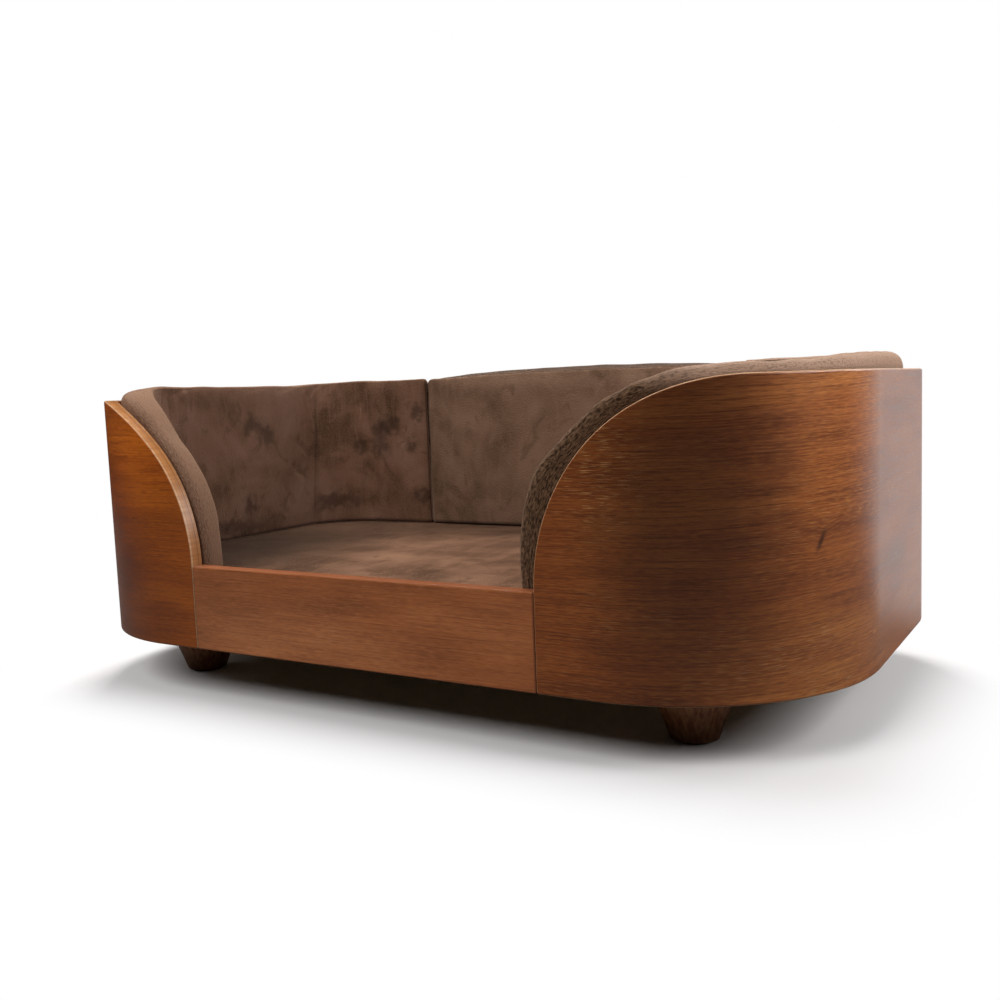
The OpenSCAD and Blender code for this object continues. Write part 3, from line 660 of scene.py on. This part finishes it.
# Turned legs --------------------------------------------------------------------------------------
def turned_leg(name, node):
    """A plain taper under a short collar, eased round its foot and hollow for its bolt."""
    low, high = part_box(node)
    middle = (low + high) / 2
    top_r = (high.x - low.x) / 2
    foot_r, collar, ease, clear = 17.5 * MM, 16 * MM, MM, 0.1 * MM
    rings = [(foot_r - ease, low.z), (foot_r - 0.3 * ease, low.z + 0.3 * ease),
             (foot_r, low.z + ease), (top_r, high.z - collar), (top_r, high.z)]
    bpy.ops.mesh.primitive_circle_add(vertices=72, radius=rings[0][0], fill_type="NGON",
                                      location=(middle.x, middle.y, low.z))
    leg = named(name)
    bpy.ops.object.mode_set(mode="EDIT")
    bpy.ops.mesh.select_mode(type="FACE")
    bpy.ops.mesh.select_all(action="SELECT")
    for (radius, z), (last_r, last_z) in zip(rings[1:], rings):
        slide((0, 0, z - last_z))
        share = radius / last_r
        bpy.ops.transform.resize(value=(share, share, 1), center_override=(middle.x, middle.y, z))
    bolt_low, bolt_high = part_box("leg_bolts")
    hole = (bolt_high.x - bolt_low.x) / 2 - abs(middle.x) + clear
    bpy.ops.mesh.inset(thickness=top_r - hole)
    slide((0, 0, bolt_low.z - high.z - clear))
    bpy.ops.object.mode_set(mode="OBJECT")
    face_out(leg)
    leg.data.shade_smooth()
    only(leg)
    bpy.ops.object.shade_smooth_by_angle(angle=math.radians(35))
    return leg


for corner in ("front_left", "front_right", "rear_left", "rear_right"):
    leg = turned_leg(corner + "_turned_leg", corner + "_leg")
    dress(leg, leg_finish, corner + "_leg", "frame")


# Cushions -----------------------------------------------------------------------------------------
def on_wall(run, depth, z):
    """Points at runs along the right-hand wall's outer face, depths in from it, and heights."""
    run, depth, z = np.broadcast_arrays(run, depth, z)
    front = np.clip((run - FLAT_END) / FRONT_R, 0, math.pi / 2)
    rear = np.clip((run - SIDE_END) / REAR_R, 0, math.pi / 2)
    turn = front + rear
    inward = np.stack([-np.sin(turn), np.cos(turn)])
    past_side = run > (FRONT_END + SIDE_END) / 2
    centre_x = np.where(past_side, REAR_X, FRONT_X)
    centre_y = np.where(past_side, REAR_Y, FRONT_Y)
    radius = np.where(past_side, REAR_R, FRONT_R)
    x = centre_x + radius * np.sin(turn)
    y = centre_y - radius * np.cos(turn)
    x = x + np.where(run < FLAT_END, run - FLAT_END, 0)
    x = x - np.where(run > REAR_END, run - REAR_END, 0)
    y = y + np.where((run > FRONT_END) & ~past_side, run - FRONT_END, 0)
    y = y - np.where((run < SIDE_END) & past_side, SIDE_END - run, 0)
    return np.stack([x + inward[0] * depth, y + inward[1] * depth, z], axis=-1)


def dome(share):
    """0 at an edge and 1 well inside it, along a quarter circle."""
    share = np.clip(share, 0, 1)
    return np.sqrt(1 - (1 - share) ** 2)


def boxed_pad(name, cells, place, chart):
    """A closed cover of two panels and four boxing strips: a cube of cells put where place says.

    chart gives the flat pattern of each of the six sides. Every corner keeps its place in the cube.
    """
    count = {}
    quads, sides = [], []

    def corner(i, j, k):
        return count.setdefault((i, j, k), len(count))

    for axis in range(3):
        first, second = [a for a in range(3) if a != axis]
        for end in (0, cells[axis]):
            for i in range(cells[first]):
                for j in range(cells[second]):
                    ring = []
                    for di, dj in ((0, 0), (1, 0), (1, 1), (0, 1)):
                        spot = [0, 0, 0]
                        spot[axis], spot[first], spot[second] = end, i + di, j + dj
                        ring.append(corner(*spot))
                    quads.append(ring)
                    sides.append((axis, end > 0))
    cube = np.array(list(count), float) / np.array(cells)
    mesh = bpy.data.meshes.new(name)
    mesh.from_pydata(place(*cube.T).tolist(), [], quads)
    pad = bpy.data.objects.new(name, mesh)
    bpy.context.scene.collection.objects.link(pad)
    layer = mesh.uv_layers.new(name="cloth")
    spots = np.array(quads).ravel()
    uvs = np.empty((len(spots), 2))
    side_of = np.repeat([axis * 2 + end for axis, end in sides], 4)
    for side in range(6):
        here = side_of == side
        uvs[here] = chart(side, *cube[spots[here]].T)
    layer.data.foreach_set("uv", uvs.ravel())
    mark = mesh.attributes.new("cube", "FLOAT_VECTOR", "POINT")
    mark.data.foreach_set("vector", cube.ravel())
    face_out(pad)
    return pad


def cube_places(mesh):
    """Each corner's place in the cube that the cover was made from."""
    values = np.empty(len(mesh.vertices) * 3)
    mesh.attributes["cube"].data.foreach_get("vector", values)
    return values.reshape(-1, 3)


def points(mesh):
    values = np.empty(len(mesh.vertices) * 3)
    mesh.vertices.foreach_get("co", values)
    return values.reshape(-1, 3)


def set_points(mesh, values):
    mesh.vertices.foreach_set("co", np.ascontiguousarray(values).ravel())
    mesh.update()


def plump(pad, loose, cap):
    """Blows the cover up with cloth, its held points still, and lets no point move past the cap."""
    steps, no_move = 20, 1e-9
    start = points(pad.data)
    held = pad.vertex_groups.new(name="held")
    for index in np.nonzero(~loose)[0]:
        held.add([int(index)], 1.0, "REPLACE")
    cloth = pad.modifiers.new("filling", "CLOTH")
    rules = cloth.settings
    rules.quality, rules.mass = 6, 0.3
    rules.use_pressure, rules.uniform_pressure_force = True, 1.2
    rules.tension_stiffness = rules.compression_stiffness = 12
    rules.shear_stiffness, rules.bending_stiffness = 4, 1.2
    rules.vertex_group_mass = "held"
    rules.effector_weights.gravity = 0
    cloth.collision_settings.use_collision = False
    cloth.point_cache.frame_start, cloth.point_cache.frame_end = 1, steps
    for step in range(1, steps + 1):
        bpy.context.scene.frame_set(step)
    shaped = pad.evaluated_get(bpy.context.evaluated_depsgraph_get()).to_mesh()
    move = points(shaped) - start
    pad.modifiers.remove(cloth)
    pad.vertex_groups.clear()
    bpy.context.scene.frame_set(1)
    size = np.linalg.norm(move, axis=1, keepdims=True)
    move *= cap * np.tanh(size / cap) / np.maximum(size, no_move)
    set_points(pad.data, start + move)


def crease_seams(pad, where):
    """Sets how crisp each cover edge stays when the cover is smoothed."""
    mesh = pad.data
    cube = cube_places(mesh)
    pairs = np.empty(len(mesh.edges) * 2, int)
    mesh.edges.foreach_get("vertices", pairs)
    ends = cube[pairs.reshape(-1, 2)]
    sharp = mesh.attributes.get("crease_edge")
    sharp = sharp or mesh.attributes.new("crease_edge", "FLOAT", "EDGE")
    sharp.data.foreach_set("value", where(ends[:, 0], ends[:, 1]).astype(np.float32))


def smooth_cover(pad):
    """Rounds the cover between its seams."""
    only(pad)
    finer = pad.modifiers.new("smooth cover", "SUBSURF")
    finer.levels = finer.render_levels = 1
    apply_modifiers(pad)
    pad.data.shade_smooth()


def wander(spots, size, seed):
    """Smooth noise from -1 to 1 at points, with bumps of a real size."""
    shift = Vector((seed * 3.1, seed * 1.7, seed * 5.3))
    return np.array([noise.noise(Vector(s) / size + shift) for s in spots])


def trough(run, z, first, second, width):
    """How near a point of a panel is to a fold between two of its places, from 0 to 1."""
    a, b = np.array(first) * MM, np.array(second) * MM
    way = b - a
    spot = np.stack([run, z], axis=-1) - a
    t = np.clip(spot @ way / (way @ way), 0, 1)
    gap = np.linalg.norm(spot - t[:, None] * way, axis=1)
    taper = np.sqrt(np.clip(np.minimum(t, 1 - t) * 4 + 0.15, 0, 1))
    return np.exp(-(gap / (width * MM)) ** 2) * taper


def bolster(name, side, stand, lean, folds, puckers):
    """A long bolster that follows the arm line, then the wall's top, and ends at the back cushion.

    stand: rows of the way along the arm line and top in mm, how far the cover stands out from that
    line at the wall and at the room, and how much it is rounded at the wall. lean: how much longer
    it is at the room. puckers: which of the covers' puckers it has.
    """
    way, at_wall, at_room, rounded = np.array(stand, float).T
    arc_way = ARM_R * math.pi / 2
    foot_way = PAD_LOW - ARM_Z

    def out_by(t, w):
        t, deep = t / MM, w * PAD_T
        flat = np.interp(t, way, at_wall) * (1 - w) + np.interp(t, way, at_room) * w
        soft = np.interp(t, way, rounded)
        crown, room_soft = 1.2 * 4 * w * (1 - w), 1.5
        fall = soft * (1 - dome(deep / (soft * MM)))
        fall = fall + room_soft * (1 - dome((PAD_T - deep) / (room_soft * MM)))
        return (flat + crown - fall) * MM

    def front_edge(v, w):
        t = foot_way + v * (arc_way - foot_way)
        turn = np.clip(t / ARM_R, 0, math.pi / 2)
        x = ARM_X - (ARM_R + out_by(t, w)) * np.cos(turn)
        z = ARM_Z + np.minimum(t, 0) + (ARM_R + out_by(t, w)) * np.sin(turn)
        inner_r = FRONT_R - CUSHION_IN - w * PAD_T
        bend = np.arcsin(np.clip((x - FRONT_X) / inner_r, 0, 1)) * FRONT_R
        return np.where(x > FRONT_X, FLAT_END + bend, x - SEAM_X), z

    def sheet(u, v, w):
        u, v, w = np.broadcast_arrays(u, v, w)
        left_run, left_z = front_edge(v, w)
        start, top = front_edge(0 * v, w)[0], front_edge(0 * v + 1, w)[0]
        end = BOLSTER_END + lean * w
        run = (1 - v) * (start + u * (end - start)) + v * (top + u * (end - top))
        run += (1 - u) * (left_run - (1 - v) * start - v * top)
        top_z = WALL_TOP + out_by(arc_way + u * (end - top), w)
        z = (1 - v) * PAD_LOW + v * top_z
        z += (1 - u) * (left_z - (1 - v) * PAD_LOW - v * (WALL_TOP + out_by(arc_way + 0 * v, w)))
        return run, z

    def across(w):
        """Gathers the cells of a strip towards its two seams."""
        return w - 0.75 * np.sin(2 * math.pi * w) / (2 * math.pi)

    def place(u, v, w):
        w = across(w)
        run, z = sheet(u, v, w)
        in_corner = np.clip((run - SIDE_END) / (REAR_END - SIDE_END), 0, 1)
        fill = CORNER_FILL * np.sin(math.pi * in_corner) * (0.35 + 0.65 * np.sin(math.pi * v))
        end = 0.6 + 0.4 * dome((1 - u) * 40)
        thick = PAD_T * end
        depth = CUSHION_IN + (PAD_T - thick) / 2 + w * thick + w * fill
        spots = on_wall(run, depth, z)
        spots[:, 0] *= side
        return spots

    def chart(face, u, v, w):
        w = across(w)
        run, z = sheet(u, v, w)
        deep = 1 + w * PAD_T
        up_arm = foot_way + v * (arc_way - foot_way)
        if face == 0:
            return np.stack([up_arm, deep], axis=-1)
        if face == 1:
            return np.stack([z, deep], axis=-1)
        if face in (2, 3):
            return np.stack([arc_way + u * 0.5, deep], axis=-1)
        if face == 4:
            from_top, from_front = (1 - v) * 0.15, u * 0.6
            at_front = from_front < from_top
            return np.stack([np.where(at_front, up_arm, arc_way + u * 0.5),
                             1 - np.minimum(from_top, from_front)], axis=-1)
        return np.stack([run, z], axis=-1)

    along, tall, edge_cells = 118, 34, 3
    pad = boxed_pad(name, (along, tall, 8), place, chart)
    cube = cube_places(pad.data)
    loose = (cube[:, 2] > 0.05) & (cube[:, 1] > 0.02)
    plump(pad, loose, 3.0 * MM)
    crease_seams(pad, lambda a, b: np.where(
        (a[:, 2] > 0.99) & (b[:, 2] > 0.99) & (
            ((a[:, 1] > 0.99) & (b[:, 1] > 0.99)) | ((a[:, 0] < 0.01) & (b[:, 0] < 0.01))),
        0.6, 0.0))
    smooth_cover(pad)
    # Folds, puckers and the slow swell of the filling, pressed into the room side
    cube, spots = cube_places(pad.data), points(pad.data)
    run, z = sheet(cube[:, 0], cube[:, 1], across(cube[:, 2]))
    room = np.clip((cube[:, 2] - 0.5) * 2, 0, 1)
    press = sum(deep * trough(run, z, first, second, width) for first, second, width, deep in folds)
    inside = np.clip((z - PAD_LOW) / (8 * MM), 0, 1)
    move = -press * MM * room + 1.1 * MM * wander(spots, 55 * MM, puckers) * room * inside
    move = move + 0.5 * MM * wander(spots, 21 * MM, puckers + 4) * room * inside
    ahead = on_wall(run, CUSHION_IN + MM, z) - on_wall(run, CUSHION_IN, z)
    ahead[:, 0] *= side
    spots = spots + ahead / MM * move[:, None]
    edge = np.clip(1 - (1 - cube[:, 1]) * tall / edge_cells, 0, 1)
    edge = edge + np.clip(1 - cube[:, 0] * along / edge_cells, 0, 1)
    ripple = 0.6 * MM * wander(spots, 24 * MM, puckers + 9) * np.clip(edge, 0, 1) * (z > ARM_Z)
    spots[:, 2] += ripple
    set_points(pad.data, spots)
    return pad


# Folds of the bolsters: run and height of both ends, width and depth, all in millimetres
left_folds = [
    ((453, 103), (470, 259), 4.0, 3.4), ((418, 200), (448, 182), 3.2, 1.8),
    ((408, 177), (427, 159), 3.2, 2.0), ((396, 152), (411, 125), 3.0, 2.0),
    ((388, 131), (398, 121), 2.6, 1.4), ((431, 140), (449, 128), 2.6, 1.5),
    ((207, 259), (201, 223), 3.0, 1.4), ((227, 259), (224, 227), 3.0, 1.7),
    ((246, 259), (242, 223), 3.2, 1.5), ((266, 259), (268, 235), 3.4, 1.2),
    ((599, 209), (598, 183), 3.2, 1.3), ((614, 215), (634, 191), 3.0, 1.3),
    ((353, 229), (350, 211), 4.0, 1.0), ((372, 213), (370, 200), 4.0, 1.0),
    ((520, 259), (514, 223), 4.0, 1.2)]
right_folds = [((453, 103), (466, 259), 4.0, 3.0), ((235, 259), (228, 229), 3.0, 1.4),
               ((560, 259), (552, 227), 4.0, 1.2)]

# How the bolsters stand out from the arm line and top, in the rows that bolster() names
left_stand = [
    (-11, -1, -8, 2), (0, -1, -8, 2), (20, -1, -8, 2), (46, -1, -5, 2), (75, -1, -3, 2),
    (118, 0, -3, 2), (135, 1, 1, 3), (150, 2, 5, 4), (175, 3, 8, 5), (200, 5, 11, 6),
    (217, 6, 12, 6), (300, 6, 13, 6),
    (420, 6, 12.5, 6), (560, 6, 13.5, 6), (740, 6, 12.5, 6)]
right_stand = [
    (-11, 19, 16, 8), (0, 20, 17, 8), (48, 26, 24, 9), (65, 27, 25, 9), (75, 26.5, 24, 9),
    (87, 22.5, 20, 9), (101, 21, 18, 9), (116, 19.5, 17, 9), (128, 18.5, 16, 9),
    (137, 16, 14, 8), (149, 16, 14, 8),
    (157, 13, 12, 8), (168, 13, 12, 8), (188, 8.5, 8.5, 7), (217, 6.5, 7, 6), (261, 6.3, 7, 6),
    (281, 8.2, 9, 7), (306, 9.6, 10.5, 8), (343, 11, 12, 9), (403, 13, 14, 10), (473, 14, 15, 11),
    (600, 13.5, 15, 10), (740, 13, 14.5, 10)]

left_pad = bolster("left_side_bolster", -1, left_stand, LEFT_LEAN, left_folds, 3)
right_pad = bolster("right_side_bolster", 1, right_stand, 0, right_folds, 8)


def back_pad(name):
    """The loose cushion between the bolsters, against the back board."""
    half, soft = BACK_HALF, 14 * MM

    def sheet(u, v):
        x = (2 * u - 1) * half
        top = PAD_TOP + 4 * MM * np.cos(math.pi / 2 * x / half)
        corner = 5 * MM * (1 - dome((half - np.abs(x)) / soft))
        return x, PAD_LOW + v * (top - corner - PAD_LOW)

    def place(u, v, w):
        x, z = sheet(u, v)
        thick = PAD_T * (0.6 + 0.4 * dome((half - np.abs(x)) / soft))
        y = DEEP_Y - CUSHION_IN - (PAD_T - thick) / 2 - w * thick
        lean = LEFT_LEAN * w * np.clip(-x / half, 0, 1)
        return np.stack([x + lean, y, z], axis=-1)

    def chart(face, u, v, w):
        x, z = sheet(u, v)
        deep = 1 + w * PAD_T
        if face < 2:
            return np.stack([z, deep], axis=-1)
        if face < 4:
            return np.stack([x, deep], axis=-1)
        return np.stack([x, z], axis=-1)

    pad = boxed_pad(name, (76, 34, 6), place, chart)
    cube = cube_places(pad.data)
    x, z = sheet(cube[:, 0], cube[:, 1])
    loose = (cube[:, 2] > 0.05) & (z > PAD_LOW + 2 * MM) & (np.abs(x) < half - 1 * MM)
    plump(pad, loose, 3.2 * MM)
    crease_seams(pad, lambda a, b: np.where(
        (a[:, 2] > 0.99) & (b[:, 2] > 0.99) & (a[:, 1] > 0.99) & (b[:, 1] > 0.99), 0.4, 0.0))
    smooth_cover(pad)
    cube, spots = cube_places(pad.data), points(pad.data)
    x, z = sheet(cube[:, 0], cube[:, 1])
    room = np.clip((cube[:, 2] - 0.5) * 2, 0, 1)
    inside = np.clip((z - PAD_LOW) / (8 * MM), 0, 1)
    folds = [((-170, 259), (-160, 233), 3.5, 1.2), ((-120, 259), (-124, 237), 4.0, 1.2),
             ((40, 259), (30, 233), 4.0, 1.2), ((-60, 147), (-30, 125), 4.0, 0.9)]
    press = sum(deep * trough(x, z, first, second, width) for first, second, width, deep in folds)
    move = press * MM * room + 1.1 * MM * wander(spots, 60 * MM, 21) * room * inside
    spots[:, 1] += move + 0.5 * MM * wander(spots, 22 * MM, 27) * room * inside
    spots[:, 2] += np.clip((cube[:, 1] - 0.9) * 10, 0, 1) * 0.7 * MM * wander(spots, 30 * MM, 33)
    set_points(pad.data, spots)
    return pad


rear_pad = back_pad("loose_back_cushion")


def seat_pad(name):
    """The flat seat cushion that fills the base and carries the others on its border."""
    front_r, rear_r = FRONT_R - CUSHION_IN, REAR_R - CUSHION_IN
    half_y, half_x = DEEP_Y - CUSHION_IN, END_X - CUSHION_IN
    low_z, border_z = SEAT_LOW, PAD_LOW - 0.3 * MM

    def plan(u, v):
        """Place across and deep of a corner, and how wide the cushion is there."""
        y = half_y * (0.5 * (2 * v - 1) - 0.5 * np.cos(math.pi * v))
        past_front = np.clip(FRONT_Y - y, 0, front_r)
        past_rear = np.clip(y - REAR_Y, 0, rear_r)
        front = FRONT_X + np.sqrt(np.clip(front_r ** 2 - past_front ** 2, 0, None))
        rear = REAR_X + np.sqrt(np.clip(rear_r ** 2 - past_rear ** 2, 0, None))
        wide = np.where(y < FRONT_Y, front, np.where(y > REAR_Y, rear, half_x))
        return (2 * u - 1) * wide, y, wide

    def inside_by(x, y, wide):
        """How far a corner lies in from the cushion's outline."""
        return np.minimum(wide - np.abs(x), half_y - np.abs(y))

    def place(u, v, w):
        x, y, wide = plan(u, v)
        gap = inside_by(x, y, wide)
        thick = (border_z - low_z) * (0.55 + 0.45 * dome(gap / (9 * MM)))
        z = (border_z + low_z) / 2 + (w - 0.5) * thick
        crown = np.clip((gap - 42 * MM) / (90 * MM), 0, 1)
        return np.stack([x, y, z + np.where(w > 0.99, 1.0 * MM * crown, 0)], axis=-1)

    def chart(face, u, v, w):
        x, y, wide = plan(u, v)
        deep = 1 + w * 27 * MM
        if face < 2:
            return np.stack([y, deep], axis=-1)
        if face < 4:
            return np.stack([x, deep], axis=-1)
        return np.stack([x, y * 0.5], axis=-1)

    pad = boxed_pad(name, (110, 64, 4), place, chart)
    cube = cube_places(pad.data)
    x, y, wide = plan(cube[:, 0], cube[:, 1])
    gap = inside_by(x, y, wide)
    plump(pad, (cube[:, 2] > 0.99) & (gap > 40 * MM), 2.5 * MM)
    crease_seams(pad, lambda a, b: np.zeros(len(a)))
    smooth_cover(pad)
    cube, spots = cube_places(pad.data), points(pad.data)
    x, y, wide = plan(cube[:, 0], cube[:, 1])
    open_seat = np.clip((inside_by(x, y, wide) - 36 * MM) / (14 * MM), 0, 1) * (cube[:, 2] > 0.9)
    stretched = spots * np.array([0.45, 1.0, 1.0])
    move = 0.7 * MM * wander(stretched, 30 * MM, 41) + 0.35 * MM * wander(stretched, 12 * MM, 47)
    spots[:, 2] += open_seat * move
    set_points(pad.data, spots)
    return pad


flat_pad = seat_pad("flat_seat_cushion")

for pad, finish, node, body, fill in (
        (left_pad, left_plush, "left_bolster", "left_side", 0.8),
        (right_pad, right_plush, "right_bolster", "right_side", 0.8),
        (rear_pad, back_plush, "back_cushion", "back", 0.8),
        (flat_pad, seat_plush, "seat_cushion", "seat", 0.9)):
    dress(pad, finish, node, body)


# Studio -------------------------------------------------------------------------------------------
bpy.ops.mesh.primitive_circle_add(vertices=96, radius=30, fill_type="NGON", location=(0, 0, 0))
floor = named("studio_floor")
white = new_material("white studio paper")
# White to the camera a little way out from the sofa's footprint, and shaded under and beside it
spot = add(white, "TexCoord").outputs["Object"]
flipped = add(white, "VectorMath", {0: spot}, operation="ABSOLUTE").outputs[0]
beside = add(white, "VectorMath", {0: flipped, 1: (0.3, 0.15, 0)}, operation="SUBTRACT").outputs[0]
clear = add(white, "VectorMath", {0: beside, 1: (0, 0, 0)}, operation="MAXIMUM").outputs[0]
gap = add(white, "VectorMath", {0: clear}, operation="LENGTH").outputs["Value"]
open_floor = add(white, "MapRange", {"Value": gap, "From Min": 0.03, "From Max": 0.13},
                 interpolation_type="SMOOTHSTEP").outputs[0]
fade = add(white, "MapRange", {"Value": gap, "From Min": 0.04, "From Max": 0.3},
           interpolation_type="SMOOTHSTEP").outputs[0]
place = add(white, "VectorMath", {0: spot}, operation="NORMALIZE").outputs["Vector"]
toward = add(white, "VectorMath", {0: place, 1: (0.3, 0.954, 0)},
             operation="DOT_PRODUCT").outputs["Value"]
behind = add(white, "MapRange", {"Value": toward, "From Min": 0.78, "From Max": 0.94}).outputs[0]
paths = add(white, "LightPath").outputs
mirrored = add(white, "Math", {0: paths["Is Glossy Ray"], 1: behind},
               operation="MULTIPLY").outputs[0]
from_camera = add(white, "Math", {0: paths["Is Camera Ray"], 1: open_floor},
                  operation="MULTIPLY").outputs[0]
seen = add(white, "Math", {0: mirrored, 1: paths["Is Transmission Ray"]},
           operation="MAXIMUM").outputs[0]
far_seen = add(white, "Math", {0: fade, 1: seen}, operation="MULTIPLY").outputs[0]
glow = add(white, "Math", {0: from_camera, 1: far_seen}, operation="MAXIMUM").outputs[0]
# To bounced light the paper is dim, as the dark studio round it is
in_view = add(white, "Math", {0: seen, 1: paths["Is Camera Ray"]}, operation="MAXIMUM").outputs[0]
shade = add(white, "Mix", {0: in_view, 6: "#66625e", 7: "#d8d6d6"}, data_type="RGBA").outputs[2]
paper = add(white, "BsdfDiffuse", {"Color": shade})
light = add(white, "Emission", {"Color": (1, 1, 1, 1), "Strength": 1.0})
both = add(white, "MixShader", {0: glow, 1: paper.outputs[0], 2: light.outputs[0]})
finish_material(white, both)
floor.data.materials.append(white)

world = bpy.data.worlds.new("studio")
bpy.context.scene.world = world
world.use_nodes = True
world.node_tree.nodes.clear()
# The studio's white backdrop stands behind; the room in front of it is dim
way = add(world, "TexCoord").outputs["Generated"]
toward = add(world, "VectorMath", {0: way, 1: (0.35, 0.94, 0)},
             operation="DOT_PRODUCT").outputs["Value"]
room = add(world, "MapRange", {"Value": toward, "From Min": 0.0, "From Max": 0.9,
                               "To Min": 0.02, "To Max": 0.1},
           interpolation_type="SMOOTHSTEP").outputs[0]
straight = add(world, "VectorMath", {0: way, 1: (0.1, 0.995, 0)},
               operation="DOT_PRODUCT").outputs["Value"]
backdrop = add(world, "MapRange", {"Value": straight, "From Min": 0.88, "From Max": 0.97,
                                   "To Min": 0.04, "To Max": 1.0}).outputs[0]
paths = add(world, "LightPath").outputs
strength = add(world, "Mix", {0: paths["Is Glossy Ray"], 2: room, 3: backdrop}).outputs[0]
for ray in ("Is Camera Ray", "Is Transmission Ray"):
    strength = add(world, "Math", {0: strength, 1: paths[ray]}, operation="MAXIMUM").outputs[0]
sky = add(world, "Background", {"Color": (1, 1, 1, 1), "Strength": strength})
add(world, "OutputWorld", {"Surface": sky.outputs[0]})


def softbox(name, place, target, size, power, glints=False):
    """A square studio light that faces a point, and may show in the lacquer."""
    lamp = bpy.data.lights.new(name, "AREA")
    lamp.shape, lamp.size, lamp.energy = "SQUARE", size, power
    light = bpy.data.objects.new(name, lamp)
    way = Vector(target) - Vector(place)
    facing = way.to_track_quat("-Z", "Y").to_matrix().to_4x4()
    light.matrix_world = Matrix.Translation(place) @ facing
    light.visible_glossy = glints
    bpy.context.scene.collection.objects.link(light)


softbox("key_light", (-0.8, 1.0, 1.5), (0, 0, 0.1), 0.7, 42)
softbox("front_light", (-0.3, -1.6, 1.8), (0, 0, 0.1), 1.2, 38)
softbox("left_light", (-1.7, -0.5, 0.9), (0, 0, 0.15), 0.8, 7)
softbox("top_light", (0, 0, 2.2), (0, 0, 0.1), 1.0, 8)
softbox("right_light", (1.4, 0.1, 0.85), (0.3, 0, 0.15), 0.6, 15, glints=True)
softbox("rear_right_light", (1.2, 1.1, 0.9), (0.3, 0, 0.15), 0.7, 9, glints=True)

# Camera at the photograph's place: yaw, pitch and roll fitted to the edges seen there
yaw, pitch, roll = -0.548, 0.103, -0.039
ahead = Vector((math.sin(yaw) * math.cos(pitch), math.cos(yaw) * math.cos(pitch), -math.sin(pitch)))
right = Vector((math.cos(yaw), -math.sin(yaw), 0))
up = right.cross(ahead)
across = math.cos(roll) * right + math.sin(roll) * up
upright = math.cos(roll) * up - math.sin(roll) * right
lens = bpy.data.cameras.new("camera")
lens.sensor_width, lens.lens = 36, 37.424
camera = bpy.data.objects.new("camera", lens)
turned = Matrix((across, upright, -ahead)).transposed().to_4x4()
camera.matrix_world = Matrix.Translation((0.49505, -0.7881, 0.2447)) @ turned
bpy.context.scene.collection.objects.link(camera)
bpy.context.scene.camera = camera
bpy.context.scene.view_settings.view_transform = "Standard"
